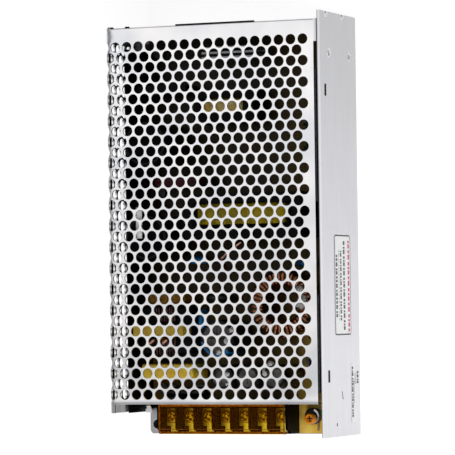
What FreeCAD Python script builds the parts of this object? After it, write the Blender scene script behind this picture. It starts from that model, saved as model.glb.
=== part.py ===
import FreeCAD, Part
import math
import os
from FreeCAD import Vector

# Enclosed switching power supply with a perforated cover.
# It lies on its base: +Z up, +Y along the case away from the terminals,
# +X towards the tall solid side wall. The origin is the middle of the base's underside.
# All lengths are in millimetres and all angles in degrees.

# Case
case_width = 110.0
case_length = 199.0
case_height = 50.0
chassis_sheet = 1.5
chassis_bend = 2.5
cover_sheet = 0.8
cover_bend = 3.0
cover_seat_gap = 0.2
cover_wall_gap = 1.8
cover_front_setback = 15.8
cover_side_setback = 11.5
cover_rear_setback = 3.8
cover_lip_drop = 4.5
cover_rear_floor = 2.4
cover_tab_length = 10.7
cover_tab_gap = 0.3
lip_height = 10.0
lip_front_setback = 14.0
lip_rear_setback = 8.0
corner_round = 2.0

# Perforation of the cover, drawn with six-sided holes.
# Round posts and holes of small parts have a few flat sides as well.
hole_rows = 19
hole_columns = 11
hole_width = 8.6
hole_sides = 6
shank_sides = 8
screw_head_sides = 12
small_head_sides = 8
hole_field_front = 20.0
hole_field_rear = 12.8
hole_field_right = 9.2
hole_field_left = 4.6
side_hole_columns = 2
side_hole_first_drop = 8.2
side_hole_pitch = 4.9

# Openings in the chassis
mount_hole = 4.0
wall_hole_setback = 19.3
wall_hole_low_z = 11.2
wall_hole_spacing = 27.2
base_hole_spacing_x = 50.0
base_hole_spacing_y = 150.0
notch_radius = 1.2
notch_low_z = 21.0
notch_high_drop = 7.4
hook_slot_width = 1.2
hook_slot_length = 5.8
hook_slot_drop = 6.4
hook_slot_rear_setback = 36.9
hook_slot_front_setback = 28.5
small_hole = 1.6
small_hole_setback = 5.7
small_hole_z = 33.8
slit_width = 0.9
slit_length = 4.0
slit_angle = 20.0
slit_setback = 19.2
slit_z = 26.2
wall_corner_round = 2.5

# Insulating film
film_thickness = 0.3
film_top_z = 33.5
film_floor_width = 22.0
film_end_setback = 12.5

# Circuit board
board_thickness = 1.6
board_standoff = 5.0
board_side_gap = 2.0
board_front_setback = 0.6
board_rear_setback = 7.0
board_left_gap = 1.8
board_block_margin = 0.8
corner_cutout_y = 15.0
board_slot_width = 1.5
board_slot_length = 4.4
board_slot_inset_x = 19.3
board_slot_setback = 4.1
standoff_width = 6.0
small_screw_shank = 2.8
small_screw_head = 5.6
small_screw_head_height = 1.8
shank_clearance = 0.1
board_screw_inset_x = 5.5
board_screw_inset_y = 6.5

# Screw and washer on the base's front left corner
corner_screw_inset_x = 4.4
corner_screw_inset_y = 4.6
corner_washer_width = 6.4
corner_washer_thickness = 0.5
washer_tooth = 0.45
corner_screw_head = 4.8
corner_screw_head_height = 1.6

# Cover screws
cover_screw_setback = 29.5
cover_screw_z = 6.0
cover_screw_head = 5.2
cover_screw_neck = 3.4
cover_screw_shank = 2.9

# Terminal block
ways = 7
way_pitch = 9.5
barrier = 1.3
block_side_gap = 8.3
block_front_setback = 0.7
block_depth = 16.3
block_floor_height = 5.8
block_back_height = 10.8
block_back_depth = 4.0
barrier_height = 15.1
barrier_back_gap = 4.0
barrier_front_gap = 1.6
barrier_step = 0.6
barrier_nose_cut = 1.2
screw_well_depth = 4.6
screw_well_margin = 1.0
plate_thickness = 1.0
plate_length = 8.4
plate_side_clearance = 0.3
tongue_width = 3.4
tongue_length = 3.4
tongue_setback = 0.2
clamp_width = 6.6
clamp_thickness = 0.8
clamp_setback = 8.2
terminal_shank = 3.0
terminal_head = 5.8
terminal_head_height = 2.2
terminal_shank_below = 5.3

# Amber flap over the terminals
flap_thickness = 1.2
flap_clearance = 0.3
flap_end_clearance = 0.2
flap_lip_drop = 3.4
flap_nose_reach = 0.1
flap_nose_cut = 0.8
flap_tail_cut = 0.6
flap_web = 2.1
flap_barrel = 2.6
hinge_pin = 2.0
hinge_clearance = 0.1
hinge_setback = 14.4
hinge_above_back = 2.6
pin_length = 1.2

# Trimmer and lamp
trimmer_base = 8.0
trimmer_base_height = 4.2
trimmer_inset_x = 21.0
trimmer_setback = 8.9
rotor_width = 5.2
rotor_height = 3.6
rotor_stem = 2.0
rotor_socket_floor = 1.0
rotor_cross_width = 0.7
rotor_cross_depth = 1.0
rotor_offset_y = -1.0
rotor_float = 0.2
lamp_diameter = 3.0
lamp_height = 6.8
lamp_flange = 3.8
lamp_flange_height = 1.0
lamp_inset_x = 14.6
lamp_setback = 10.9

# Main transformer
core_length = 60.0
core_width = 21.0
core_top_gap = 7.1
core_leg = 5.5
core_side_leg = 4.5
core_x = 11.4
core_setback = 104.7
winding_length = 49.6
winding_clearance = 0.3
winding_round = 3.0
winding_rise = 0.8
bobbin_flange = 1.6
bobbin_foot = 3.0

# Mains filter choke
choke_inset_x = 19.4
choke_setback = 50.4
choke_length = 26.0
choke_width = 21.6
choke_leg = 6.5
choke_bar_height = 12.5
choke_lift = 4.0
choke_wrap_gap = 0.2
choke_former_height = 26.9
choke_fin_width = 4.8
choke_fin_lift = 0.2
choke_former_end_gap = 0.3
choke_former_side_gap = 0.2
choke_coil = 11.4
choke_coil_wrap = 1.7

# Output choke, a wound ring lying flat
ring_inset_x = 31.5
ring_setback = 62.5
ring_outer = 33.0
ring_inner = 18.0
ring_height = 13.0
ring_wire = 1.6
ring_turns = 18
ring_sides = 24
ring_wire_slack = 0.05
ring_seat = 0.2

# Capacitors
bulk_diameter = 22.0
bulk_top_gap = 8.1
bulk_inset_x = 16.2
bulk_setback = 95.0
output_diameter = 12.5
output_height = 26.0
output_first_x = -3.4
output_pitch = 13.3
output_setback = 27.9
output_odd_diameter = 18.0
output_odd_x = -5.5
output_odd_setback = 46.6
can_bevel = 0.8
can_foot_step = 0.4
can_foot_height = 1.2
mains_box_length = 27.0
mains_box_width = 7.4
mains_box_height = 19.0
mains_box_inset_x = 20.4
mains_box_setback = 30.7
box_round = 0.8
red_film_length = 23.0
red_film_width = 6.0
red_film_height = 22.0
red_film_x = -27.5
red_film_gap = 3.6
orange_film_length = 18.0
orange_film_width = 5.4
orange_film_height = 17.0
orange_film_inset_x = 18.8
orange_film_setback = 65.9
disc_diameter = 10.0
disc_thickness = 3.6
disc_lift = 1.5
lead_width = 0.6
disc_first_x = -23.0
disc_first_setback = 84.3
disc_second_x = -20.3
disc_second_setback = 55.9
disc_third_inset_x = 21.5
disc_third_setback = 81.9

# Other parts on the board
fuse_diameter = 5.2
fuse_length = 20.0
fuse_sides = 12
fuse_inset_x = 24.0
fuse_setback = 20.5
fuse_cap_length = 5.0
fuse_lift = 3.2
clip_thickness = 0.5
clip_side_gap = 0.2
clip_rise = 1.6
lead_overlap = 0.2
thermistor_diameter = 13.0
thermistor_thickness = 4.8
thermistor_x = -11.5
thermistor_setback = 66.0
bridge_length = 25.0
bridge_height = 15.0
bridge_thickness = 4.4
bridge_lift = 3.0
bridge_lead_width = 1.0
bridge_lead_thickness = 0.8
bridge_inset_x = 19.0
drive_x = -4.9
drive_length = 31.0
drive_width = 16.0
drive_height = 16.0
drive_leg = 4.4
drive_coil_clearance = 0.2
drive_foot = 1.0
drive_coil_rise = 0.8
fin_x = -0.6
fin_setback = 15.9
fin_length = 27.0
fin_height = 20.0
fin_thickness = 1.0
fin_pitch = 2.4
fin_count = 3
fin_web = 1.5
sink_inset_x = 8.6
sink_thickness = 3.0
sink_height = 29.0
primary_sink_setback = 57.5
primary_sink_length = 62.0
secondary_sink_setback = 43.5
secondary_sink_length = 46.0
package_width = 10.2
package_height = 15.6
package_thickness = 4.5
package_lift = 8.0
package_spread = 15.0
package_hole_drop = 3.0
leg_pitch = 2.54
leg_thickness = 0.6
leg_width = 0.9

# How the free length is shared out between pieces in a row along Y
left_row_gaps = (0.195, 0.195, 0.298)
middle_row_gaps = (0.708,)

# Heights and faces that follow from the sizes above
half_width = case_width / 2
half_length = case_length / 2
front = -half_length
rear = half_length
board_z = chassis_sheet + board_standoff
board_top = board_z + board_thickness
wall_inner = half_width - chassis_sheet
cover_right = wall_inner - cover_wall_gap
cover_front = front + cover_front_setback
cover_rear = rear - cover_rear_setback
cover_inner_left = -half_width + cover_sheet
lip_outer = cover_inner_left + cover_seat_gap
lip_inner = lip_outer + chassis_sheet
film_left = lip_inner + cover_seat_gap
board_left = film_left + film_thickness + board_left_gap
board_right = wall_inner - board_side_gap
board_front = front + board_front_setback
board_rear = rear - board_rear_setback
under_cover = case_height - cover_sheet
wall_hole_y = rear - wall_hole_setback
cover_screw_y = half_length - cover_screw_setback
board_slot_x = half_width - board_slot_inset_x
board_slot_y = front + board_slot_setback

# Places and heights of the parts on the board
trimmer_x = half_width - trimmer_inset_x
trimmer_y = front + trimmer_setback
lamp_x = half_width - lamp_inset_x
lamp_y = front + lamp_setback
core_y = front + core_setback
core_height = under_cover - core_top_gap - board_top - bobbin_foot
core_rear = core_y + core_width / 2
choke_x = choke_inset_x - half_width
choke_y = front + choke_setback
ring_x = half_width - ring_inset_x
ring_y = front + ring_setback
bulk_x = bulk_inset_x - half_width
bulk_first_y = front + bulk_setback
bulk_height = under_cover - bulk_top_gap - board_top
output_y = front + output_setback
output_odd_y = front + output_odd_setback
mains_box_x = mains_box_inset_x - half_width
mains_box_y = front + mains_box_setback
red_film_y = core_rear + red_film_gap + red_film_width / 2
orange_film_x = orange_film_inset_x - half_width
orange_film_y = front + orange_film_setback
disc_places = (
    (disc_first_x, front + disc_first_setback, 0.0),
    (disc_second_x, front + disc_second_setback, 90.0),
    (half_width - disc_third_inset_x, front + disc_third_setback, 0.0),
)
fuse_x = fuse_inset_x - half_width
fuse_y = front + fuse_setback
thermistor_y = front + thermistor_setback
bridge_x = bridge_inset_x - half_width
fin_y = rear - fin_setback
fin_depth = (fin_count - 1) * fin_pitch + fin_thickness
sink_x = half_width - sink_inset_x
primary_sink_y = rear - primary_sink_setback
secondary_sink_y = front + secondary_sink_setback


def middles_in_row(start, end, widths, gaps):
    """Middles of pieces in a row, each gap a share of the length that the pieces leave free."""
    free = end - start - sum(widths)
    middles = []
    place = start
    for width, gap in zip(widths, gaps):
        place += gap * free
        middles.append(place + width / 2)
        place += width
    return middles


middle_screw_y, bulk_second_y, bridge_y = middles_in_row(
    bulk_first_y + bulk_diameter / 2,
    board_rear - board_screw_inset_y - small_screw_head / 2,
    (small_screw_head, bulk_diameter, bridge_thickness),
    left_row_gaps,
)
drive_y = middles_in_row(core_rear, fin_y - fin_depth / 2, (drive_width,), middle_row_gaps)[0]

parts = {}


def box(x0, x1, y0, y1, z0, z1):
    return Part.makeBox(x1 - x0, y1 - y0, z1 - z0, Vector(x0, y0, z0))


def block_on(x, y, length, width, z0, z1):
    return box(x - length / 2, x + length / 2, y - width / 2, y + width / 2, z0, z1)


def post(x, y, z0, z1, diameter):
    return Part.makeCylinder(diameter / 2, z1 - z0, Vector(x, y, z0))


def ring_points(x, y, diameter, sides, turn=0.0):
    points = []
    for i in range(sides):
        angle = math.radians(turn + 360.0 * i / sides)
        points.append((x + diameter / 2 * math.cos(angle), y + diameter / 2 * math.sin(angle)))
    return points


def flat_ring(x, y, diameter, sides):
    """Points of a ring that stands on one of its flat sides."""
    return ring_points(x, y, diameter, sides, 180.0 / sides)


def prism(points, z0, z1):
    face = Part.Face(Part.makePolygon([Vector(x, y, z0) for x, y in points + points[:1]]))
    return face.extrude(Vector(0, 0, z1 - z0))


def faceted_post(x, y, z0, z1, diameter, sides):
    """A post with a few flat sides whose corners lie on the diameter."""
    return prism(flat_ring(x, y, diameter, sides), z0, z1)


def faceted_hole(x, y, z0, z1, diameter, sides):
    """A hole with a few flat sides that stay outside the diameter."""
    return faceted_post(x, y, z0, z1, diameter / math.cos(math.pi / sides), sides)


def profile_along_x(points, x0, x1):
    """A closed outline of (y, z) points drawn out from x0 to x1."""
    face = Part.Face(Part.makePolygon([Vector(x0, y, z) for y, z in points + points[:1]]))
    return face.extrude(Vector(x1 - x0, 0, 0))


def profile_along_y(points, y0, y1):
    """A closed outline of (x, z) points drawn out from y0 to y1."""
    face = Part.Face(Part.makePolygon([Vector(x, y0, z) for x, z in points + points[:1]]))
    return face.extrude(Vector(0, y1 - y0, 0))


def lying_post_x(x0, x1, y, z, diameter):
    return Part.makeCylinder(diameter / 2, x1 - x0, Vector(x0, y, z), Vector(1, 0, 0))


def turned(points, x, y, sides):
    """A post of flat-sided rings from a list of (radius, z), its foot and top closed."""
    rings = []
    for radius, z in points:
        ring = [Vector(px, py, z) for px, py in flat_ring(x, y, 2 * radius, sides)]
        rings.append(Part.makePolygon(ring + ring[:1]))
    return Part.makeLoft(rings, True, True)


def chamfered(length, width, z0, z1, x, y, cut):
    """An upright block whose four standing corners are cut off."""
    a = length / 2
    b = width / 2
    points = [(a, cut - b), (a, b - cut), (a - cut, b), (cut - a, b),
              (-a, b - cut), (-a, cut - b), (cut - a, -b), (a - cut, -b)]
    return prism([(x + px, y + py) for px, py in points], z0, z1)


def chamfered_coil(x, y, length, width, z0, z1, cut):
    """A block lying along X whose four long corners are cut off."""
    b = width / 2
    points = [(y - b, z0 + cut), (y - b, z1 - cut), (y + cut - b, z1), (y + b - cut, z1),
              (y + b, z1 - cut), (y + b, z0 + cut), (y + b - cut, z0), (y + cut - b, z0)]
    return profile_along_x(points, x - length / 2, x + length / 2)


def pan_screw(x, y, seat_z, shank_length, head, head_height, shank, sides=screw_head_sides):
    """A screw standing on seat_z with its shank pointing down."""
    top = faceted_post(x, y, seat_z, seat_z + head_height, head, sides)
    return top.fuse(faceted_post(x, y, seat_z - shank_length, seat_z, shank, shank_sides)).removeSplitter()


def keep(name, solids):
    """Writes one node: one solid, or several alike that share a node."""
    if not isinstance(solids, list):
        solids = [solids]
    found = []
    for solid in solids:
        found.extend(solid.Solids)
    parts[name] = found[0] if len(found) == 1 else Part.makeCompound(found)


# Case

def chassis_blank():
    """Base plate, side wall and low lip, folded from one sheet."""
    radius = chassis_bend
    inner = radius - chassis_sheet
    slant = math.sqrt(0.5)
    corner_x = half_width - radius
    corners = [Vector(x, front, z) for x, z in (
        (lip_outer, 0), (corner_x, 0), (half_width, radius), (half_width, case_height),
        (wall_inner, case_height), (wall_inner, radius), (corner_x, chassis_sheet), (lip_outer, chassis_sheet)
    )]
    outer_middle = Vector(corner_x + radius * slant, front, radius - radius * slant)
    inner_middle = Vector(corner_x + inner * slant, front, radius - inner * slant)
    edges = [
        Part.LineSegment(corners[0], corners[1]).toShape(),
        Part.Arc(corners[1], outer_middle, corners[2]).toShape(),
        Part.LineSegment(corners[2], corners[3]).toShape(),
        Part.LineSegment(corners[3], corners[4]).toShape(),
        Part.LineSegment(corners[4], corners[5]).toShape(),
        Part.Arc(corners[5], inner_middle, corners[6]).toShape(),
        Part.LineSegment(corners[6], corners[7]).toShape(),
        Part.LineSegment(corners[7], corners[0]).toShape(),
    ]
    body = Part.Face(Part.Wire(edges)).extrude(Vector(0, case_length, 0))
    low_lip = box(lip_outer, lip_inner, front + lip_front_setback, rear - lip_rear_setback, 0, lip_height)
    return body.fuse([low_lip] + base_tabs()).removeSplitter()


def base_tabs():
    """The base's two ends that reach out under the cover's side wall, each with one round corner."""
    made = []
    for end, depth in ((front, cover_side_setback), (rear, cover_rear_setback - cover_seat_gap)):
        inward = 1 if end < 0 else -1
        r = min(corner_round, depth)
        points = [(lip_outer + 1, end), (-half_width + r, end)]
        for i in range(1, 4):
            angle = math.radians(30.0 * i)
            points.append((-half_width + r - r * math.sin(angle), end + inward * (r - r * math.cos(angle))))
        points += [(-half_width, end + inward * depth), (lip_outer + 1, end + inward * depth)]
        made.append(prism(points, 0, chassis_sheet))
    return made


def wall_corner_cut():
    """What is rounded off the fold's far corner."""
    r = wall_corner_round
    points = [(rear - r, -1.0), (rear + 1, -1.0), (rear + 1, r)]
    for angle in (90.0, 60.0, 30.0, 0.0):
        turn = math.radians(angle)
        points.append((rear - r + r * math.sin(turn), r - r * math.cos(turn)))
    return profile_along_x(points, half_width - chassis_bend - 1, half_width + 1)


def wall_cuts():
    """Screw holes, notches, hook slots and small openings of the side wall."""
    x0 = wall_inner - 1
    x1 = half_width + 1
    cuts = [wall_corner_cut()]
    for z in (wall_hole_low_z, wall_hole_low_z + wall_hole_spacing):
        cuts.append(lying_post_x(x0, x1, wall_hole_y, z, mount_hole))
    for z in (notch_low_z, case_height - notch_high_drop):
        cuts.append(faceted_hole_x(x0, x1, rear, z, 2 * notch_radius, 6))
    hook_z = case_height - hook_slot_drop
    for y in (rear - hook_slot_rear_setback, front + hook_slot_front_setback):
        cuts.append(box(x0, x1, y - hook_slot_length / 2, y + hook_slot_length / 2,
                        hook_z - hook_slot_width / 2, hook_z + hook_slot_width / 2))
    cuts.append(faceted_hole_x(x0, x1, front + small_hole_setback, small_hole_z, small_hole))
    slit = box(x0, x1, -slit_length / 2, slit_length / 2, -slit_width / 2, slit_width / 2)
    slit.rotate(Vector(0, 0, 0), Vector(1, 0, 0), slit_angle)
    slit.translate(Vector(0, front + slit_setback, slit_z))
    cuts.append(slit)
    return cuts


def base_screw_places():
    x = base_hole_spacing_x / 2
    y = base_hole_spacing_y / 2
    return [(-x, -y), (x, -y), (-x, y), (x, y)]


def chassis():
    cuts = wall_cuts()
    for x, y in base_screw_places():
        cuts.append(post(x, y, -1, chassis_sheet + 1, mount_hole))
    for y in (-cover_screw_y, cover_screw_y):
        cuts.append(faceted_hole_x(lip_outer - 1, lip_inner + 1, y, cover_screw_z, cover_screw_shank))
    return chassis_blank().cut(cuts)


def faceted_hole_x(x0, x1, y, z, diameter, sides=8):
    """A hole along X with a few flat sides that stay outside the diameter."""
    reach = diameter / math.cos(math.pi / sides)
    return profile_along_x(flat_ring(y, z, reach, sides), x0, x1)


def perforation():
    """Cutters for the staggered holes: those in the top, then those in the left wall."""
    y_first = rear - hole_field_rear
    y_pitch = (case_length - hole_field_front - hole_field_rear) / (hole_rows - 1)
    x_first = half_width - hole_field_right
    x_pitch = (case_width - hole_field_right - hole_field_left) / (hole_columns - 0.5)
    cutters = []
    for row in range(hole_rows):
        y = y_first - row * y_pitch
        shift = 0.5 * (row % 2)
        count = hole_columns - row % 2
        for column in range(count):
            x = x_first - (column + shift) * x_pitch
            points = ring_points(x, y, hole_width, hole_sides, 180.0 / hole_sides)
            cutters.append(prism(points, case_height - 2 * cover_sheet, case_height + 1))
        for step in range(side_hole_columns):
            if (step + row) % 2:
                continue
            z = case_height - side_hole_first_drop - step * side_hole_pitch
            points = ring_points(y, z, hole_width, hole_sides, 0.0)
            cutters.append(profile_along_x(points, -half_width - 1, -half_width + 2 * cover_sheet))
    return cutters


def bent_sheet(reach, y0, y1):
    """The cover's section from the foot of its left wall, round the bend, to X = reach."""
    left = -half_width
    inner = left + cover_sheet
    bend = left + cover_bend
    top = case_height
    under = top - cover_sheet
    start = top - cover_bend
    slant = math.sqrt(0.5)
    outer_middle = Vector(bend - cover_bend * slant, y0, start + cover_bend * slant)
    inner_bend = cover_bend - cover_sheet
    inner_middle = Vector(bend - inner_bend * slant, y0, start + inner_bend * slant)
    corners = [Vector(x, y0, z) for x, z in (
        (left, 0), (left, start), (bend, top), (reach, top),
        (reach, under), (bend, under), (inner, start), (inner, 0)
    )]
    edges = [
        Part.LineSegment(corners[0], corners[1]).toShape(),
        Part.Arc(corners[1], outer_middle, corners[2]).toShape(),
        Part.LineSegment(corners[3], corners[4]).toShape(),
        Part.Arc(corners[5], inner_middle, corners[6]).toShape(),
        Part.LineSegment(corners[6], corners[7]).toShape(),
        Part.LineSegment(corners[7], corners[0]).toShape(),
    ]
    if reach > bend:
        edges.insert(2, Part.LineSegment(corners[2], corners[3]).toShape())
        edges.insert(4, Part.LineSegment(corners[4], corners[5]).toShape())
    return Part.Face(Part.Wire(edges)).extrude(Vector(0, y1 - y0, 0))


def perforated_cover():
    bend_end = -half_width + cover_bend
    body = bent_sheet(cover_right, cover_front, cover_rear)
    tail = bent_sheet(bend_end, front + cover_side_setback, cover_front)
    front_lip = box(bend_end, cover_right, cover_front, cover_front + cover_sheet,
                    case_height - cover_lip_drop, case_height - cover_sheet / 2)
    rear_lip = box(cover_inner_left - cover_sheet / 2, cover_right, cover_rear - cover_sheet, cover_rear,
                   cover_rear_floor, case_height - cover_bend)
    rear_top = box(bend_end, cover_right, cover_rear - cover_sheet, cover_rear,
                   case_height - cover_bend - 1, case_height - cover_sheet / 2)
    tab = box(cover_right, wall_inner - cover_tab_gap, cover_rear - cover_tab_length, cover_rear,
              under_cover, case_height)
    body = body.fuse([tail, front_lip, rear_lip, rear_top, tab]).removeSplitter()
    body = body.cut(perforation())
    return body.cut([cover_screw_taper(y, shank_clearance) for y in (-cover_screw_y, cover_screw_y)])


def cover_screw_taper(y, clearance):
    """The flush head of a cover screw, tapering inwards through the cover's sheet."""
    rings = []
    for x, width in ((-half_width, cover_screw_head), (cover_inner_left, cover_screw_neck)):
        points = flat_ring(y, cover_screw_z, width + 2 * clearance, screw_head_sides)
        ring = [Vector(x, py, pz) for py, pz in points]
        rings.append(Part.makePolygon(ring + ring[:1]))
    return Part.makeLoft(rings, True, True)


def cover_screws():
    made = []
    for y in (-cover_screw_y, cover_screw_y):
        shank = flat_ring(y, cover_screw_z, cover_screw_shank, shank_sides)
        shank_post = profile_along_x(shank, cover_inner_left, lip_inner)
        made.append(cover_screw_taper(y, 0).fuse(shank_post).removeSplitter())
    return made


def insulation_sheet():
    y0 = front + film_end_setback
    y1 = rear - film_end_setback
    points = [
        (film_left, chassis_sheet),
        (film_left + film_floor_width, chassis_sheet),
        (film_left + film_floor_width, chassis_sheet + film_thickness),
        (film_left + film_thickness, chassis_sheet + film_thickness),
        (film_left + film_thickness, film_top_z),
        (film_left, film_top_z),
    ]
    sheet = profile_along_y(points, y0, y1)
    holes = [block_on(x, y, standoff_width + 1, standoff_width + 1, 0, board_z) for x, y in screw_places()]
    return sheet.cut(holes)


# Circuit board and what holds it

def screw_places():
    left = board_left + board_screw_inset_x
    right = board_right - board_screw_inset_x
    near = board_front + board_screw_inset_y
    far = board_rear - board_screw_inset_y
    return [(left, far), (right, far), (left, near + corner_cutout_y), (right, near), (left, middle_screw_y)]


def circuit_board():
    board = box(board_left, board_right, board_front, board_rear, board_z, board_top)
    board = board.cut(box(board_left - 1, block_left - board_block_margin, board_front - 1,
                          board_front + corner_cutout_y, board_z - 1, board_top + 1))
    slot = block_on(board_slot_x, board_slot_y, board_slot_width, board_slot_length,
                    board_z - 1, board_top + 1)
    holes = [
        faceted_hole(x, y, board_z - 1, board_top + 1, small_screw_shank + 2 * shank_clearance, shank_sides)
        for x, y in screw_places()
    ]
    return board.cut([slot] + holes)


def standoffs():
    return [faceted_post(x, y, chassis_sheet, board_z, standoff_width, 6) for x, y in screw_places()]


def board_screws():
    made = []
    for x, y in screw_places():
        made.append(pan_screw(x, y, board_top, board_thickness, small_screw_head, small_screw_head_height,
                              small_screw_shank, small_head_sides))
    return made


def corner_place():
    return -half_width + corner_screw_inset_x, front + corner_screw_inset_y


def corner_washer():
    x, y = corner_place()
    z = chassis_sheet
    points = []
    for i in range(20):
        angle = math.radians(18.0 * i)
        radius = corner_washer_width / 2 - (0 if i % 2 else washer_tooth)
        points.append((x + radius * math.cos(angle), y + radius * math.sin(angle)))
    washer = prism(points, z, z + corner_washer_thickness)
    return washer.cut(faceted_hole(x, y, z - 1, z + 2, small_screw_shank + 2 * shank_clearance, 8))


def corner_screw():
    x, y = corner_place()
    seat = chassis_sheet + corner_washer_thickness
    return pan_screw(x, y, seat, corner_washer_thickness, corner_screw_head, corner_screw_head_height,
                     small_screw_shank)


# Terminal block

block_left = board_left + block_side_gap
block_middle_x = block_left + (ways * way_pitch + barrier) / 2
block_right = block_left + ways * way_pitch + barrier
block_front = front + block_front_setback
block_back = block_front + block_depth
plate_z = board_top + block_floor_height
barrier_top = board_top + barrier_height
back_top = board_top + block_back_height
clamp_y = block_front + clamp_setback
hinge_y = block_front + hinge_setback
hinge_z = back_top + hinge_above_back
flap_lip_z = barrier_top + flap_clearance - flap_lip_drop
washer_z = plate_z + plate_thickness
head_z = washer_z + clamp_thickness


def way_x(i):
    return block_middle_x + (i - (ways - 1) / 2) * way_pitch


def terminal_block():
    floor = box(block_left, block_right, block_front, block_back, board_top, plate_z)
    back = box(block_left, block_right, block_back - block_back_depth, block_back, board_top, back_top)
    step_z = flap_lip_z - barrier_step
    front_outline = [
        (block_front + barrier_front_gap + barrier_nose_cut, barrier_top),
        (block_front + barrier_front_gap, barrier_top - barrier_nose_cut),
        (block_front + barrier_front_gap, step_z),
        (block_front, step_z),
        (block_front, board_top),
        (block_back, board_top),
    ]
    inner_back = [
        (block_back, back_top),
        (block_back - barrier_back_gap, back_top),
        (block_back - barrier_back_gap, barrier_top),
    ]
    walls = []
    for i in range(ways + 1):
        x = block_middle_x + (i - ways / 2) * way_pitch
        outline = front_outline + ([(block_back, barrier_top)] if i in (0, ways) else inner_back)
        walls.append(profile_along_x(outline, x - barrier / 2, x + barrier / 2))
    body = floor.fuse([back] + walls).removeSplitter()
    cuts = [lying_post_x(block_left - 1, block_right + 1, hinge_y, hinge_z, hinge_pin + 2 * hinge_clearance)]
    for i in range(ways):
        cuts.append(faceted_hole(way_x(i), clamp_y, plate_z - screw_well_depth, plate_z + 1,
                                 terminal_shank + screw_well_margin, 6))
    return body.cut(cuts)


def terminal_plate(i):
    half = (way_pitch - barrier) / 2 - plate_side_clearance
    x = way_x(i)
    tongue_end = block_front + tongue_setback
    shoulder = tongue_end + tongue_length
    back = shoulder + plate_length
    t = tongue_width / 2
    points = [
        (x - t, tongue_end), (x + t, tongue_end), (x + t, shoulder), (x + half, shoulder),
        (x + half, back), (x - half, back), (x - half, shoulder), (x - t, shoulder),
    ]
    plate = prism(points, plate_z, plate_z + plate_thickness)
    hole = faceted_hole(x, clamp_y, plate_z - 1, washer_z + 1, terminal_shank + 2 * shank_clearance, 8)
    return plate.cut(hole)


def clamp_washer(i):
    x = way_x(i)
    washer = block_on(x, clamp_y, clamp_width, clamp_width, washer_z, head_z)
    hole = faceted_hole(x, clamp_y, washer_z - 1, head_z + 1, terminal_shank + 2 * shank_clearance, 8)
    return washer.cut(hole)


def terminal_screw(i):
    return pan_screw(way_x(i), clamp_y, head_z, terminal_shank_below, terminal_head, terminal_head_height,
                     terminal_shank)


def terminal_cover():
    left = block_left + barrier + flap_end_clearance
    right = block_right - barrier - flap_end_clearance
    under = barrier_top + flap_clearance
    top = under + flap_thickness
    nose = block_front - flap_nose_reach
    reach = flap_web / 2
    outline = [
        (hinge_y - reach, hinge_z),
        (hinge_y - reach, under),
        (nose + flap_thickness, under),
        (nose + flap_thickness, flap_lip_z),
        (nose, flap_lip_z),
        (nose, top - flap_nose_cut),
        (nose + flap_nose_cut, top),
        (hinge_y + reach - flap_tail_cut, top),
        (hinge_y + reach, top - flap_tail_cut),
        (hinge_y + reach, hinge_z),
    ]
    body = profile_along_x(outline, left, right)
    barrel = profile_along_x(ring_points(hinge_y, hinge_z, flap_barrel, 10), left, right)
    pins = lying_post_x(left - pin_length, right + pin_length, hinge_y, hinge_z, hinge_pin)
    return body.fuse([barrel, pins]).removeSplitter()


# Trimmer and lamp

def trimmer_body():
    top = board_top + trimmer_base_height
    base = faceted_post(trimmer_x, trimmer_y, board_top, top, trimmer_base, 16)
    socket = faceted_hole(trimmer_x, trimmer_y + rotor_offset_y, board_top + rotor_socket_floor, top + 1,
                          rotor_stem + 2 * hinge_clearance, 8)
    return base.cut(socket)


def trimmer_rotor():
    x = trimmer_x
    y = trimmer_y + rotor_offset_y
    seat = board_top + trimmer_base_height + rotor_float
    head = faceted_post(x, y, seat, seat + rotor_height, rotor_width, 16)
    stem = faceted_post(x, y, board_top + rotor_socket_floor + rotor_float, seat, rotor_stem, 8)
    arm = rotor_width * 0.7
    floor = seat + rotor_height - rotor_cross_depth
    cross = [
        block_on(x, y, arm, rotor_cross_width, floor, floor + 2),
        block_on(x, y, rotor_cross_width, arm, floor, floor + 2),
    ]
    return head.fuse(stem).removeSplitter().cut(cross)


def lamp():
    r = lamp_diameter / 2
    dome_z = board_top + lamp_height - r
    flange = faceted_post(lamp_x, lamp_y, board_top, board_top + lamp_flange_height, lamp_flange, 10)
    dome = turned([(r, board_top + lamp_flange_height), (r, dome_z), (r * 0.8, dome_z + r * 0.6),
                   (r * 0.35, dome_z + r * 0.94)], lamp_x, lamp_y, 10)
    return flange.fuse(dome).removeSplitter()


def can(x, y, diameter, height):
    """A can capacitor with a drawn-in foot and a bevelled rim."""
    r = diameter / 2
    z = board_top
    top = z + height
    outline = [(r - can_foot_step, z), (r, z + can_foot_height), (r, top - can_bevel), (r - can_bevel, top)]
    return turned(outline, x, y, 16)


# Wound parts

def transformer_core():
    """Two E halves lying flat, their legs along X, with the coil round the middle leg."""
    z0 = board_top + bobbin_foot
    z1 = z0 + core_height
    body = block_on(core_x, core_y, core_length, core_width, z0, z1)
    window = transformer_window()
    for side in (-1, 1):
        y = core_y + side * (core_leg + window) / 2
        body = body.cut(block_on(core_x, y, winding_length + 2 * winding_clearance, window, z0 - 1, z1 + 1))
    return body


def transformer_window():
    return (core_width - core_leg - 2 * core_side_leg) / 2


def transformer_winding():
    width = core_leg + 2 * transformer_window() - 2 * winding_clearance
    z0 = board_top + bobbin_foot - winding_rise
    z1 = board_top + bobbin_foot + core_height + winding_rise
    coil = chamfered_coil(core_x, core_y, winding_length - 2 * bobbin_flange, width, z0, z1, winding_round)
    hole = block_on(core_x, core_y, winding_length + 2, core_leg + 2 * winding_clearance,
                    board_top + bobbin_foot - winding_clearance,
                    board_top + bobbin_foot + core_height + winding_clearance)
    return coil.cut(hole)


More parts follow.
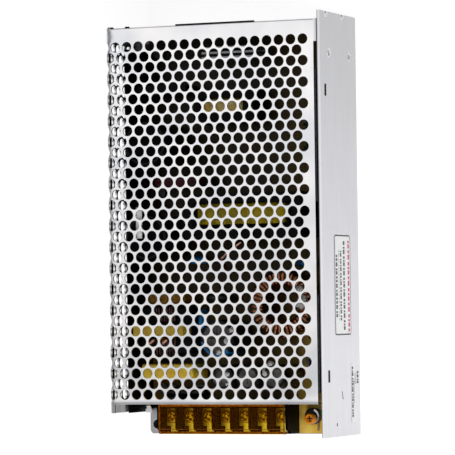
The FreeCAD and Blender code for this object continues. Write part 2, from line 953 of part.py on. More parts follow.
def transformer_bobbin():
    """End flanges of the coil former with the pin rails that stand on the board."""
    width = core_leg + 2 * transformer_window() - 2 * winding_clearance
    z1 = board_top + bobbin_foot + core_height + winding_rise
    made = []
    for side in (-1, 1):
        x = core_x + side * (winding_length - bobbin_flange) / 2
        flange = block_on(x, core_y, bobbin_flange, width, board_top, z1)
        hole = block_on(x, core_y, bobbin_flange + 2, core_leg + 2 * winding_clearance,
                        board_top + bobbin_foot - winding_clearance,
                        board_top + bobbin_foot + core_height + winding_clearance)
        made.append(flange.cut(hole))
    return made


def line_choke_core():
    """A closed square ferrite frame lying flat, legs along X."""
    z0 = board_top + choke_lift
    z1 = z0 + choke_bar_height
    body = block_on(choke_x, choke_y, choke_length, choke_width, z0, z1)
    inside = choke_length - 2 * choke_leg
    return body.cut(block_on(choke_x, choke_y, inside, choke_width - 2 * choke_leg, z0 - 1, z1 + 1))


def line_choke_winding():
    """Two copper coils round the end bars of the frame."""
    z0 = board_top + choke_lift
    z1 = z0 + choke_bar_height
    wrap = choke_coil_wrap
    made = []
    for side in (-1, 1):
        y = choke_y + side * (choke_width - choke_leg) / 2
        coil = chamfered_coil(choke_x, y, choke_coil, choke_leg + 2 * wrap, z0 - wrap, z1 + wrap, wrap * 0.8)
        hole = block_on(choke_x, y, choke_coil + 2, choke_leg + 2 * choke_wrap_gap,
                        z0 - choke_wrap_gap, z1 + choke_wrap_gap)
        made.append(coil.cut(hole))
    return made


def line_choke_bobbin():
    """The yellow former between the two coils, with a fin as long as the core above it."""
    length = choke_length - 2 * choke_leg - 2 * choke_former_end_gap
    width = choke_width - 2 * (choke_leg + choke_coil_wrap + choke_former_side_gap)
    fin_z = board_top + choke_lift + choke_bar_height + choke_fin_lift
    stem = block_on(choke_x, choke_y, length, width, board_top, fin_z)
    fin = block_on(choke_x, choke_y, choke_length, choke_fin_width, fin_z, board_top + choke_former_height)
    return stem.fuse(fin).removeSplitter()


def toroid_core():
    z0 = board_top + ring_seat + ring_wire
    z1 = z0 + ring_height
    ring = faceted_post(ring_x, ring_y, z0, z1, ring_outer - 2 * ring_wire, ring_sides)
    return ring.cut(faceted_hole(ring_x, ring_y, z0 - 1, z1 + 1, ring_inner + 2 * ring_wire, ring_sides))


def toroid_winding():
    """Turns of thick wire, each a flat loop round the ring's section."""
    z0 = board_top + ring_seat
    z1 = z0 + ring_height + 2 * ring_wire
    r0 = ring_inner / 2
    r1 = ring_outer / 2
    turn = box(r0, r1, -ring_wire / 2, ring_wire / 2, z0, z1)
    slack = ring_wire_slack
    turn = turn.cut(box(r0 + ring_wire - slack, r1 - ring_wire + slack, -ring_wire, ring_wire,
                        z0 + ring_wire - slack, z1 - ring_wire + slack))
    made = []
    for i in range(ring_turns):
        angle = 360.0 * (i + 0.5) / ring_turns
        loop = turn.copy()
        loop.rotate(Vector(0, 0, 0), Vector(0, 0, 1), angle)
        loop.translate(Vector(ring_x, ring_y, 0))
        made.append(loop)
    return made


def drive_core():
    z1 = board_top + drive_height
    body = block_on(drive_x, drive_y, drive_length, drive_width, board_top + drive_foot, z1)
    window = (drive_width - 3 * drive_leg) / 2
    for side in (-1, 1):
        y = drive_y + side * (drive_leg + window) / 2
        body = body.cut(block_on(drive_x, y, drive_length - 2 * drive_leg, window, board_top, z1 + 1))
    return body


def drive_winding():
    z1 = board_top + drive_height
    window = (drive_width - 3 * drive_leg) / 2
    c = drive_coil_clearance
    coil = chamfered(drive_length - 2 * drive_leg - 2 * c, drive_leg + 2 * window - 2 * c, board_top,
                     z1 + drive_coil_rise, drive_x, drive_y, drive_coil_rise)
    hole = block_on(drive_x, drive_y, drive_length, drive_leg + 2 * c, board_top + drive_foot - c, z1 + c)
    return coil.cut(hole)


# Capacitors, fuse and other small parts

def boxed_capacitor(x, y, length, width, height):
    return chamfered(length, width, board_top, board_top + height, x, y, box_round)


def dipped_capacitor(x, y, length, width, height):
    """A dipped film capacitor: a flat body with full round ends."""
    r = width / 2
    points = []
    for side in (1, -1):
        for i in range(7):
            angle = math.radians(30.0 * i - side * 90.0)
            points.append((x + side * (length / 2 - r) + r * math.cos(angle), y + r * math.sin(angle)))
    return prism(points, board_top, board_top + height)


def standing_disc(x, y, turn, diameter, thickness):
    """A disc part standing on edge on its two leads."""
    z = board_top + disc_lift + diameter / 2
    points = ring_points(x, z, diameter, 16)
    body = profile_along_y(points, y - thickness / 2, y + thickness / 2)
    leads = [
        block_on(x + side * diameter / 4, y, lead_width, lead_width, board_top, z - diameter / 4)
        for side in (-1, 1)
    ]
    body = body.fuse(leads).removeSplitter()
    body.rotate(Vector(x, y, 0), Vector(0, 0, 1), turn)
    return body


def fuse_parts():
    """Glass fuse with its end caps in two clips."""
    z = board_top + fuse_lift
    tube = profile_along_x(flat_ring(fuse_y, z, fuse_diameter, fuse_sides), fuse_x - fuse_length / 2,
                           fuse_x + fuse_length / 2)
    clips = []
    for side in (-1, 1):
        x = fuse_x + side * (fuse_length - fuse_cap_length) / 2
        half = fuse_diameter / 2 + clip_side_gap
        clip = block_on(x, fuse_y, fuse_cap_length - 1, 2 * (half + clip_thickness), board_top, z + clip_rise)
        clip = clip.cut(block_on(x, fuse_y, fuse_cap_length + 1, 2 * half,
                                 board_top + clip_thickness, z + 2 * clip_rise))
        clips.append(clip)
    return tube, clips


def bridge_rectifier():
    body = block_on(bridge_x, bridge_y, bridge_length, bridge_thickness, board_top + bridge_lift,
                    board_top + bridge_lift + bridge_height)
    leads = []
    for i in range(4):
        x = bridge_x + (i - 1.5) * bridge_length / 5
        leads.append(block_on(x, bridge_y, bridge_lead_width, bridge_lead_thickness, board_top,
                              board_top + bridge_lift + lead_overlap))
    return body.fuse(leads).removeSplitter()


def rectifier_heatsink():
    """Upright fins that run along X, joined by a web near the board."""
    web = block_on(fin_x, fin_y, fin_length, fin_depth, board_top, board_top + fin_web)
    fins = []
    for i in range(fin_count):
        y = fin_y + (i - (fin_count - 1) / 2) * fin_pitch
        fins.append(block_on(fin_x, y, fin_length, fin_thickness, board_top, board_top + fin_height))
    return web.fuse(fins).removeSplitter()


def upright_heatsink(y, length):
    return block_on(sink_x, y, sink_thickness, length, board_top, board_top + sink_height)


def package_places(y):
    return [y - package_spread / 2, y + package_spread / 2]


def power_package(y):
    """A flat power device against the left face of an upright heat sink."""
    right = sink_x - sink_thickness / 2
    z0 = board_top + package_lift
    body = box(right - package_thickness, right, y - package_width / 2, y + package_width / 2,
               z0, z0 + package_height)
    legs = []
    for step in (-1, 0, 1):
        legs.append(block_on(right - package_thickness / 2, y + step * leg_pitch, leg_thickness, leg_width,
                             board_top, z0 + lead_overlap))
    return body.fuse(legs).removeSplitter()


def device_screw(y):
    face = sink_x - sink_thickness / 2 - package_thickness
    z = board_top + package_lift + package_height - package_hole_drop
    points = flat_ring(y, z, small_screw_head, small_head_sides)
    return profile_along_x(points, face - small_screw_head_height, face)


def heatsinks_and_devices():
    keep("heatsink_primary", upright_heatsink(primary_sink_y, primary_sink_length))
    keep("heatsink_secondary", upright_heatsink(secondary_sink_y, secondary_sink_length))
    every = package_places(primary_sink_y) + package_places(secondary_sink_y)
    keep("power_devices", [power_package(y) for y in every])
    keep("device_screws", [device_screw(y) for y in every])


def main():
    keep("chassis", chassis())
    keep("perforated_cover", perforated_cover())
    keep("cover_screws", cover_screws())
    keep("insulation_sheet", insulation_sheet())
    keep("pcb", circuit_board())
    keep("pcb_standoffs", standoffs())
    keep("pcb_screws", board_screws())
    keep("corner_washer", corner_washer())
    keep("corner_screw", corner_screw())
    keep("terminal_block", terminal_block())
    keep("terminal_plates", [terminal_plate(i) for i in range(ways)])
    for i in range(ways):
        keep(f"clamp_washer_{i + 1}", clamp_washer(i))
        keep(f"terminal_screw_{i + 1}", terminal_screw(i))
    keep("terminal_cover", terminal_cover())
    keep("trimmer_body", trimmer_body())
    keep("trimmer_rotor", trimmer_rotor())
    keep("led", lamp())
    keep("transformer_core", transformer_core())
    keep("transformer_winding", transformer_winding())
    keep("transformer_bobbin", transformer_bobbin())
    keep("line_choke_core", line_choke_core())
    keep("line_choke_winding", line_choke_winding())
    keep("line_choke_bobbin", line_choke_bobbin())
    keep("toroid_core", toroid_core())
    keep("toroid_winding", toroid_winding())
    keep("drive_transformer_core", drive_core())
    keep("drive_transformer_winding", drive_winding())
    for i, y in enumerate((bulk_first_y, bulk_second_y)):
        keep(f"bulk_capacitor_{i + 1}", can(bulk_x, y, bulk_diameter, bulk_height))
    for i in range(3):
        x = output_first_x + i * output_pitch
        keep(f"output_capacitor_{i + 1}", can(x, output_y, output_diameter, output_height))
    keep("output_capacitor_4", can(output_odd_x, output_odd_y, output_odd_diameter, output_height))
    keep("x_capacitor", boxed_capacitor(mains_box_x, mains_box_y, mains_box_length, mains_box_width,
                                        mains_box_height))
    keep("film_capacitor_red", dipped_capacitor(red_film_x, red_film_y, red_film_length, red_film_width,
                                                red_film_height))
    keep("film_capacitor_orange", dipped_capacitor(orange_film_x, orange_film_y, orange_film_length,
                                                   orange_film_width, orange_film_height))
    for i, (x, y, turn) in enumerate(disc_places):
        keep(f"y_capacitor_{i + 1}", standing_disc(x, y, turn, disc_diameter, disc_thickness))
    keep("thermistor", standing_disc(thermistor_x, thermistor_y, 0.0, thermistor_diameter,
                                     thermistor_thickness))
    tube, clips = fuse_parts()
    keep("fuse", tube)
    keep("fuse_clips", clips)
    keep("bridge_rectifier", bridge_rectifier())
    keep("rectifier_heatsink", rectifier_heatsink())
    heatsinks_and_devices()

    os.makedirs("parts", exist_ok=True)
    for name, shape in parts.items():
        shape.exportStep(os.path.join("parts", name + ".step"))
    print(len(parts), "nodes")


main()
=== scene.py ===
import bmesh
import bpy
from math import cos, pi, radians, sin
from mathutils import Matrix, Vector


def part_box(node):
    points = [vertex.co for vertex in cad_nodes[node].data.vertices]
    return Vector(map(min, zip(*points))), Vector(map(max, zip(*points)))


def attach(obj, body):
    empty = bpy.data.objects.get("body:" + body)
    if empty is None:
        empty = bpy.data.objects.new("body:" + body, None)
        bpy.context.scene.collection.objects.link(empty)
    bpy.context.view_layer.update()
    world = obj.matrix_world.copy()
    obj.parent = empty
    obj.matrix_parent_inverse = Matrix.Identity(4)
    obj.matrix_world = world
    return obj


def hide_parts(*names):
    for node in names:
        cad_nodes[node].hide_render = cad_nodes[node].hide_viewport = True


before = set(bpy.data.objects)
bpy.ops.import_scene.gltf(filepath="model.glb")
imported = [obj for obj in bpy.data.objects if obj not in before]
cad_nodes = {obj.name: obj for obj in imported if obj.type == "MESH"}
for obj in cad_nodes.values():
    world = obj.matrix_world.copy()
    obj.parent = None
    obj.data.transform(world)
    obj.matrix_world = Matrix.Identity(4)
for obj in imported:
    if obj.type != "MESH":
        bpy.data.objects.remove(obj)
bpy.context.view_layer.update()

# Everything lies in the part's own frame. Sizes are written in millimetres and turned to metres by MM.
MM = 0.001
CASE = "case"


def linked(name, data):
    """A new object at the origin, linked into the scene."""
    made = bpy.data.objects.new(name, data)
    bpy.context.collection.objects.link(made)
    return made


# The photograph's view: from above, a little towards the tall side wall

def photo_camera():
    lens = bpy.data.cameras.new("photo_camera")
    lens.lens = 249.407
    lens.sensor_width = 36.0
    lens.clip_start = 0.1
    lens.clip_end = 20.0
    camera = linked("photo_camera", lens)
    camera.location = (0.575605, -0.039378, 1.416039)
    camera.rotation_euler = [radians(angle) for angle in (1.18561, 22.60353, -0.80440)]
    bpy.context.scene.camera = camera


photo_camera()


# Node trees

def linear(hex_colour):
    """An sRGB hex colour as linear light."""
    channels = [int(hex_colour[i:i + 2], 16) / 255 for i in (1, 3, 5)]
    return [c / 12.92 if c <= 0.04045 else ((c + 0.055) / 1.055) ** 2.4 for c in channels] + [1.0]


def add(tree, kind, inputs=None, **settings):
    """Adds one node. An input is a plain value, an output, or a node for its first output."""
    made = tree.nodes.new(kind)
    for name, value in settings.items():
        setattr(made, name, value)
    for key, value in (inputs or {}).items():
        if isinstance(value, bpy.types.Node):
            value = value.outputs[0]
        if isinstance(value, bpy.types.NodeSocket):
            tree.links.new(value, made.inputs[key])
        else:
            made.inputs[key].default_value = value
    return made


def new_material(name):
    made = bpy.data.materials.new(name)
    made.use_nodes = True
    made.node_tree.nodes.clear()
    return made, made.node_tree


# Floor, room and lamps

def seen_directly(tree):
    """1 for camera, mirror and see-through rays, 0 for the light that falls on things."""
    path = add(tree, "ShaderNodeLightPath").outputs
    either = {0: path["Is Camera Ray"], 1: path["Is Glossy Ray"]}
    either = add(tree, "ShaderNodeMath", either, operation="MAXIMUM")
    return add(tree, "ShaderNodeMath", {0: either, 1: path["Is Transmission Ray"]}, operation="MAXIMUM")


def pale_room():
    """White to the camera, a tent of soft greys to mirrors, and a weak light on everything."""
    world = bpy.data.worlds.new("pale_room")
    world.use_nodes = True
    tree = world.node_tree
    tree.nodes.clear()
    soft = add(tree, "ShaderNodeBackground", {"Color": linear("#f4f6fa"), "Strength": 0.10})
    place = add(tree, "ShaderNodeTexCoord").outputs["Generated"]
    toward = add(tree, "ShaderNodeSeparateXYZ", {0: place})
    tent = add(tree, "ShaderNodeValToRGB", {"Fac": toward.outputs[2]})
    stops = tent.color_ramp.elements
    for position, shade in ((0.0, 0.62), (0.35, 0.30), (0.62, 0.34), (0.82, 0.80), (1.0, 0.84)):
        stops.new(position).color = (shade, shade, shade, 1.0)
    stops.remove(stops[0])
    stops.remove(stops[-1])
    sheen = add(tree, "ShaderNodeBackground", {"Color": tent, "Strength": 1.0})
    bright = add(tree, "ShaderNodeBackground", {"Color": linear("#ffffff"), "Strength": 1.0})
    camera = add(tree, "ShaderNodeLightPath").outputs["Is Camera Ray"]
    shown = add(tree, "ShaderNodeMixShader", {0: camera, 1: sheen, 2: bright})
    mix = add(tree, "ShaderNodeMixShader", {0: seen_directly(tree), 1: soft, 2: shown})
    add(tree, "ShaderNodeOutputWorld", {"Surface": mix})
    bpy.context.scene.world = world


def pale_floor():
    """Grey paper that takes the shadow, lifted to near white where it is looked at."""
    finish, tree = new_material("pale_backdrop_paper")
    paper = add(tree, "ShaderNodeBsdfDiffuse", {"Color": linear("#c8c8c8")})
    glow = add(tree, "ShaderNodeEmission", {"Color": linear("#ffffff"), "Strength": 0.83})
    nothing = add(tree, "ShaderNodeEmission", {"Strength": 0.0})
    lift = add(tree, "ShaderNodeMixShader", {0: seen_directly(tree), 1: nothing, 2: glow})
    both = add(tree, "ShaderNodeAddShader", {0: paper, 1: lift})
    add(tree, "ShaderNodeOutputMaterial", {"Surface": both})
    mesh = bpy.data.meshes.new("floor")
    half, height = 4, -0.2 * MM
    corners = [(x * half, y * half, height) for x, y in ((-1, -1), (1, -1), (1, 1), (-1, 1))]
    mesh.from_pydata(corners, [], [(0, 1, 2, 3)])
    mesh.materials.append(finish)
    floor = linked("floor", mesh)


def lamp_at(name, place, aim, size, watts, mirrored=False):
    light = bpy.data.lights.new(name, "AREA")
    light.size = size
    light.energy = watts
    lamp = linked(name, light)
    lamp.location = place
    lamp.rotation_euler = (Vector(aim) - Vector(place)).to_track_quat("-Z", "Y").to_euler()
    lamp.visible_glossy = mirrored


bpy.context.scene.view_settings.view_transform = "Standard"
pale_room()
pale_floor()
lamp_at("wall_lamp", (1.3, -0.5, 0.5), (0.05, 0, 0.02), 0.7, 11.0)
lamp_at("front_lamp", (0.1, -1.3, 0.7), (0, -0.05, 0.02), 0.6, 8.0)
lamp_at("top_lamp", (-0.55, 0.55, 1.25), (0, 0, 0.05), 0.9, 1.6, mirrored=True)


# Finishes

def mottled(name, deep, light, grain, roughness, bump=0.0, stretch=(1, 1, 1), shader=None, spread=0.12,
            fades=()):
    """A finish whose colour and gloss drift between two tones, with grain given in millimetres.

    Grain of about a millimetre or less stands for finer real grain, drawn this coarse so that it shows.
    Each fade paints light or shade by scaling the colour along one axis: (axis, from mm, to mm, first factor,
    last factor)."""
    made, tree = new_material(name)
    place = add(tree, "ShaderNodeTexCoord").outputs["Object"]
    scale = [s / (grain * MM) for s in stretch]
    scaled = add(tree, "ShaderNodeMapping", {"Vector": place, "Scale": scale})
    noise = add(tree, "ShaderNodeTexNoise", {"Vector": scaled, "Scale": 1.0, "Detail": 3.0})
    tone = add(tree, "ShaderNodeValToRGB", {"Fac": noise})
    for stop, position, colour in zip(tone.color_ramp.elements, (0.35, 0.65), (deep, light)):
        stop.position = position
        stop.color = linear(colour)
    gloss = add(tree, "ShaderNodeMapRange", {
        "Value": noise, "From Min": 0.3, "From Max": 0.7,
        "To Min": roughness * (1 - spread), "To Max": roughness * (1 + spread)})
    split = add(tree, "ShaderNodeSeparateXYZ", {0: place}).outputs
    for axis, start, end, first, last in fades:
        factor = add(tree, "ShaderNodeMapRange", {
            "Value": split[axis], "From Min": start * MM, "From Max": end * MM,
            "To Min": first, "To Max": last})
        tone = add(tree, "ShaderNodeVectorMath", {0: tone, "Scale": factor}, operation="SCALE")
    inputs = {"Base Color": tone, "Roughness": gloss}
    inputs.update(shader or {})
    if bump:
        relief = {"Height": noise, "Strength": 0.6, "Distance": bump * MM}
        inputs["Normal"] = add(tree, "ShaderNodeBump", relief)
    surface = add(tree, "ShaderNodeBsdfPrincipled", inputs)
    add(tree, "ShaderNodeOutputMaterial", {"Surface": surface})
    return made


METAL = {"Metallic": 1.0}
DULL = {"Specular IOR Level": 0.15}
MATT = {"Specular IOR Level": 0.04}
# Bright plated steel: cold grey white, with broad soft clouds from the plating bath. The fades paint shade
# that dims its two ends, a highlight and shade across the front bend, and a shadow on the tab by the tall
# wall.
plated_steel = mottled("bright_plated_steel", "#cfd0d4", "#eceaea", 26, 0.30, 0.004, shader=METAL, fades=(
    (1, 95, 70, 0.93, 1.0), (1, -84, -50, 0.96, 1.0), (1, -81, -78, 1.2, 1.0), (1, -83.2, -81.6, 0.62, 1.0),
    (1, -83.5, -83.2, 1.05, 1.0), (0, 51.7, 53.2, 1.0, 0.55)))
# The same sheet's inner side, which the plating leaves satin.
satin_steel = mottled("satin_plated_steel", "#bcbdc1", "#d6d7da", 5, 0.5, 0.004, shader={"Metallic": 0.2})
# Rolled aluminium sheet: faint long streaks along the rolling direction, which is the case's length. The
# fades paint shade on its rear, the base and the wall's foot, and a highlight that keeps the wall's edge and
# outer face bright.
rolled_aluminium = mottled(
    "rolled_aluminium", "#cccccf", "#d0d0d3", 3.5, 0.42, 0.0003, (1.0, 0.12, 1.0), METAL, 0.03, fades=(
        (1, 95, -60, 0.87, 1.14), (0, -50, 40, 0.42, 0.77), (0, 41, 44, 1.0, 0.4), (0, 53.6, 54.0, 1.0, 3.25),
        (0, 54.9, 54.99, 1.3, 1.0)))
# Nearly white aluminium round the screw holes and notches, without streaks: painted highlight on their
# insides and rims.
rim_painted_highlight = mottled("aluminium_painted_highlight", "#eeeeef", "#ffffff", 2.0, 0.4, 0.004)
# Extruded aluminium of the rectifier's heat sink, greyer and duller than the case.
extruded_aluminium = mottled("extruded_aluminium", "#8e9094", "#b4b6ba", 1.5, 0.45, 0.01, (1, 0.06, 1), METAL)
# Aluminium of the two sinks inside: charcoal with a soft metal sheen, darkened as painted shade under the
# cover.
sink_painted_shade = mottled("sink_aluminium_painted_shade", "#38393c", "#55565a", 1.5, 0.5, 0.01, shader=METAL)
# Zinc plated steel screws and clips inside: the zinc darkened to a dark grey, painted shade under the cover.
zinc_painted_shade = mottled("zinc_plate_painted_shade", "#2c2c2e", "#4c4c50", 0.9, 0.4, 0.01, shader={"Metallic": 0.6})
# Zinc plated steel screws outside: bright grey with small clouds.
zinc_plate = mottled("zinc_plated_steel", "#a8aaae", "#d4d6d8", 0.9, 0.30, 0.01, shader=METAL)
# Brass of the terminal screws and their clamps, yellow and polished by handling.
brass = mottled("polished_brass", "#8a5c10", "#ffdc68", 0.8, 0.18, 0.08, shader={"Metallic": 0.65})
# The brass tongues at the terminals' front: near white yellow as a painted highlight,
# with painted shade halving it behind their front ends.
brass_painted_highlight = mottled("brass_tongue_painted_highlight", "#fff090", "#fffbd0", 1.6, 0.32, 0.12, (0.5, 1.0, 1.0),
                       {"Metallic": 0.9}, fades=((1, -93.5, -92.5, 1.0, 0.5),))
# Enamelled copper wire: warm metal under clear varnish.
copper = mottled("enamelled_copper", "#8a4a2c", "#cc8660", 1.6, 0.24, shader=METAL | {"Coat Weight": 0.6})
# Bare copper of the transformer's thick lead, pinkish and bright; on the choke's two bent ends it paints the
# glints of its wire.
bare_copper_and_glint = mottled("bare_copper_and_glint", "#c98a78", "#f0c0b0", 1.2, 0.25, shader=METAL)
# The choke's wire: copper darkened as painted shade, so that only its edges glint.
dark_copper = mottled("copper_with_painted_shade", "#1c0b06", "#4a2010", 1.6, 0.16,
                      shader={"Metallic": 0.9, "Coat Weight": 0.8})
# Black oxide on the corner screw and in the terminal screws' crosses: dull near black, faintly oily.
black_oxide = mottled("black_oxide_steel", "#0c0c0d", "#1e1e20", 0.8, 0.35, 0.01, shader=DULL)
# Polyester insulating film: black, smooth and a little glossy.
black_film = mottled("black_polyester_film", "#030304", "#070708", 9, 0.45, shader=MATT)
# Moulded phenolic of the terminal block and formers: black with a fine matt grain.
black_moulding = mottled("black_moulded_phenolic", "#050505", "#0b0a0b", 0.7, 0.55, 0.012, shader=MATT)
# Moulded epoxy packages of the power devices: dull black with a fine rough grain.
black_epoxy = mottled("black_epoxy_package", "#09090a", "#141415", 0.5, 0.6, 0.02, shader=DULL)
# Bare paper laminate of the board under clear lacquer, yellow brown. The fades paint shade on it under the
# cover and at its front edge, and painted light that leaves it pale towards the tall wall.
laminate = mottled("paper_laminate_board", "#dcae42", "#f2cc62", 5, 0.34, 0.004, shader=DULL, fades=(
    (1, -84.5, -82.5, 0.36, 0.12), (1, -60, -20, 1.0, 0.4), (0, 12, 30, 1.0, 4.2), (1, 50, 70, 1.0, 0.45)))
# Sintered ferrite: nearly black, dull and slightly pitted.
ferrite = mottled("sintered_ferrite", "#070708", "#111112", 0.6, 0.7, 0.02, shader=DULL)
# Yellow polyester tape round the main transformer, olive where it lies in layers.
yellow_tape = mottled("yellow_polyester_tape", "#9a8608", "#d8be1c", 4, 0.22, 0.02, (1, 0.4, 2.2), DULL)
# Pale polyester tape round the small drive transformer: straw yellow and smooth.
pale_tape = mottled("pale_polyester_tape", "#e8b840", "#fff0a0", 3, 0.25, 0.02)
# Moulded plastic of the box capacitor and the choke's former: even warm yellow, half glossy.
yellow_box = mottled("yellow_moulded_box", "#f0bc24", "#ffe04c", 5, 0.30, 0.004)
# Dipped epoxy of one film capacitor, and the cross in the trimmer's rotor: deep maroon, softly wavy.
maroon_dip = mottled("maroon_epoxy_dip", "#3a0812", "#5a1020", 2.5, 0.25, 0.02, shader=DULL)
# Dipped epoxy of the other film capacitor: tan, softly wavy.
orange_dip = mottled("tan_epoxy_dip", "#8a5c14", "#b8842a", 2.5, 0.3, 0.02, shader=DULL)
# Dipped epoxy of the ceramic discs: clear blue and glossy.
blue_dip = mottled("blue_epoxy_dip", "#0a64b0", "#2a9ae0", 2.0, 0.2, 0.02)
# Dipped epoxy of the thermistor: dark green, a little rough.
green_dip = mottled("dark_green_epoxy_dip", "#10190f", "#1e2a18", 2.0, 0.35, 0.03)
# Plastic sleeve shrunk over the cans: blue black, smooth and tight.
dark_sleeve = mottled("dark_shrunk_sleeve", "#08090b", "#101216", 5, 0.28, shader=DULL)
# The painted highlight on one can's sleeve: a bright blue band with the sleeve's gloss.
blue_sleeve = mottled("blue_shrunk_sleeve", "#0d6cb4", "#2296e0", 5, 0.24)
# Bare aluminium lids of the output cans: dark dull grey in broad patches, darkened as painted shade under the
# cover.
bare_lid = mottled("bare_aluminium_lid", "#181716", "#6e6a68", 5, 0.38, 0.005, shader={"Metallic": 0.4})
# Silicone glue: white rubbery lumps between the tall cans and beside the toroid.
white_glue = mottled("white_silicone_glue", "#f2f0ea", "#fffffc", 1.5, 0.45, 0.05)
# Painted powder core of the output choke: olive yellow, half matt.
painted_core = mottled("painted_powder_core", "#6b5a1e", "#8a7428", 2, 0.5, 0.02)
# Moulded nylon of the trimmer's rotor: strong orange, a little glossy.
orange_moulding = mottled("orange_moulded_nylon", "#ff8a00", "#ffae2a", 1.2, 0.32, 0.01, shader=DULL)
# Moulded body of the trimmer: dark grey and dull.
dark_moulding = mottled("dark_grey_moulding", "#0f1012", "#1c1d1f", 1.0, 0.4, 0.01, shader=DULL)
# Tinned plate of the corner screw's washer, pale and bright; on the trimmer's body it is a painted rim
# highlight.
light_plate = mottled("tinned_plate_and_painted_highlight", "#b7babd", "#dfe1e3", 1.0, 0.3, 0.01, shader=METAL)
# Tinted epoxy of the lamp: green, glossy and half clear.
green_lens = mottled("green_tinted_epoxy", "#0f9a4c", "#1fc463", 2, 0.12,
                     shader={"Transmission Weight": 0.35, "IOR": 1.5})
# Smoked sleeve over the fuse: nearly black and glossy.
fuse_body = mottled("smoked_fuse_sleeve", "#0d0f0e", "#1a1d1b", 3, 0.12, shader=DULL)


def tinted_sheet(name, deep, light, sheen, gloss):
    """Thin clear plastic: each face tints what passes it and carries a faint gloss with scratches."""
    made, tree = new_material(name)
    place = add(tree, "ShaderNodeTexCoord").outputs["Object"]
    scaled = add(tree, "ShaderNodeMapping", {"Vector": place, "Scale": (1 / (9 * MM),) * 3})
    noise = add(tree, "ShaderNodeTexNoise", {"Vector": scaled, "Detail": 4.0})
    ramp = add(tree, "ShaderNodeValToRGB", {"Fac": noise})
    ramp.color_ramp.elements[0].color = linear(deep)
    ramp.color_ramp.elements[1].color = linear(light)
    clear = add(tree, "ShaderNodeBsdfTransparent", {"Color": ramp})
    relief = add(tree, "ShaderNodeBump", {"Height": noise, "Strength": 0.3, "Distance": 0.02 * MM})
    look = {"Color": linear(sheen), "Roughness": 0.12, "Normal": relief}
    shine = add(tree, "ShaderNodeBsdfGlossy", look)
    body = add(tree, "ShaderNodeMixShader", {0: gloss, 1: clear, 2: shine})
    add(tree, "ShaderNodeOutputMaterial", {"Surface": body})
    return made


# Amber flap: clear tinted plastic, so brass shines through it and the block behind turns it brown.
amber_plastic = tinted_sheet("amber_clear_plastic", "#fff2a0", "#fffac8", "#c87020", 0.03)
# Its cut edges and hinge barrel, where the light travels inside the sheet and glows orange.
amber_edge = mottled("amber_plastic_edge", "#6e3c08", "#b4701c", 2, 0.25, shader=DULL)
# Coated paper of the label and strip, and the pad and tie at the cover's left side: clean white, satin.
label_paper = mottled("coated_label_paper", "#fafafa", "#ffffff", 8, 0.4,
                      shader={"Coat Weight": 1.0, "Coat Roughness": 0.4})
# Printing ink on the paper: flat dark grey.
grey_ink = mottled("grey_print_ink", "#4a4a4e", "#6a6a6e", 0.6, 0.6)
# Printing ink of the label's one red line: flat pinkish red.
red_ink = mottled("red_print_ink", "#cc3a66", "#de6486", 0.6, 0.6)


# Mesh helpers

def as_mesh(name, work):
    mesh = bpy.data.meshes.new(name)
    work.to_mesh(mesh)
    work.free()
    return mesh


def as_object(name, mesh, finish, smooth=40.0):
    """Gives a finished mesh its material and soft edges, and links it at the origin."""
    mesh.name = name
    mesh.materials.clear()
    mesh.materials.append(finish)
    mesh.shade_smooth()
    mesh.set_sharp_from_angle(angle=radians(smooth))
    return linked(name, mesh)


def from_bmesh(name, work, finish, smooth=40.0):
    bmesh.ops.remove_doubles(work, verts=work.verts, dist=1e-6)
    bmesh.ops.recalc_face_normals(work, faces=work.faces)
    for vert in work.verts:
        vert.co *= MM
    return as_object(name, as_mesh(name, work), finish, smooth)


def block(name, low, high, edge, finish, steps=2):
    """A block between two corners with rounded edges."""
    work = bmesh.new()
    bmesh.ops.create_cube(work, size=1.0)
    for vert in work.verts:
        vert.co = [low[i] if vert.co[i] < 0 else high[i] for i in range(3)]
    if edge:
        bmesh.ops.bevel(work, geom=work.edges[:], offset=edge, segments=steps, profile=0.5, affect="EDGES")
    return from_bmesh(name, work, finish)


def turned(name, outline, centre, finish, sides=32, axis="Z", smooth=40.0):
    """A turned piece from (radius, height) points; the ends on the axis are closed."""
    work = bmesh.new()
    rings = []
    for radius, height in outline:
        ring = []
        count = 1 if radius == 0 else sides
        for i in range(count):
            angle = 2 * pi * i / sides
            a, b = radius * cos(angle), radius * sin(angle)
            point = {"Z": (a, b, height), "X": (height, a, b), "Y": (b, height, a)}[axis]
            ring.append(work.verts.new([p + c for p, c in zip(point, centre)]))
        rings.append(ring)
    for lower, upper in zip(rings, rings[1:]):
        for i in range(sides):
            corners = [lower[i % len(lower)], lower[(i + 1) % len(lower)],
                       upper[(i + 1) % len(upper)], upper[i % len(upper)]]
            kept = list(dict.fromkeys(corners))
            if len(kept) > 2:
                work.faces.new(kept)
    return from_bmesh(name, work, finish, smooth)


def drawn(name, outline, low, high, finish, axis="Z", edge=0.0, steps=1):
    """A closed flat outline drawn out along an axis, with its edges eased."""
    work = bmesh.new()
    def point(a, b, h):
        return (h, a, b) if axis == "X" else (a, b, h)
    face = work.faces.new([work.verts.new(point(a, b, low)) for a, b in outline])
    grown = bmesh.ops.extrude_face_region(work, geom=[face])["geom"]
    shift = Vector(point(0, 0, high - low))
    bmesh.ops.translate(work, verts=[g for g in grown if isinstance(g, bmesh.types.BMVert)], vec=shift)
    if edge:
        bmesh.ops.recalc_face_normals(work, faces=work.faces)
        sharp = [e for e in work.edges if e.calc_face_angle(0) > 0.9]
        bmesh.ops.bevel(work, geom=sharp, offset=edge, segments=steps, profile=0.5, affect="EDGES")
    return from_bmesh(name, work, finish)


def arc(cx, cy, radius, start, end, steps=6):
    """Points on an arc, with angles in degrees."""
    angles = [radians(start + (end - start) * i / steps) for i in range(steps + 1)]
    return [(cx + radius * cos(angle), cy + radius * sin(angle)) for angle in angles]


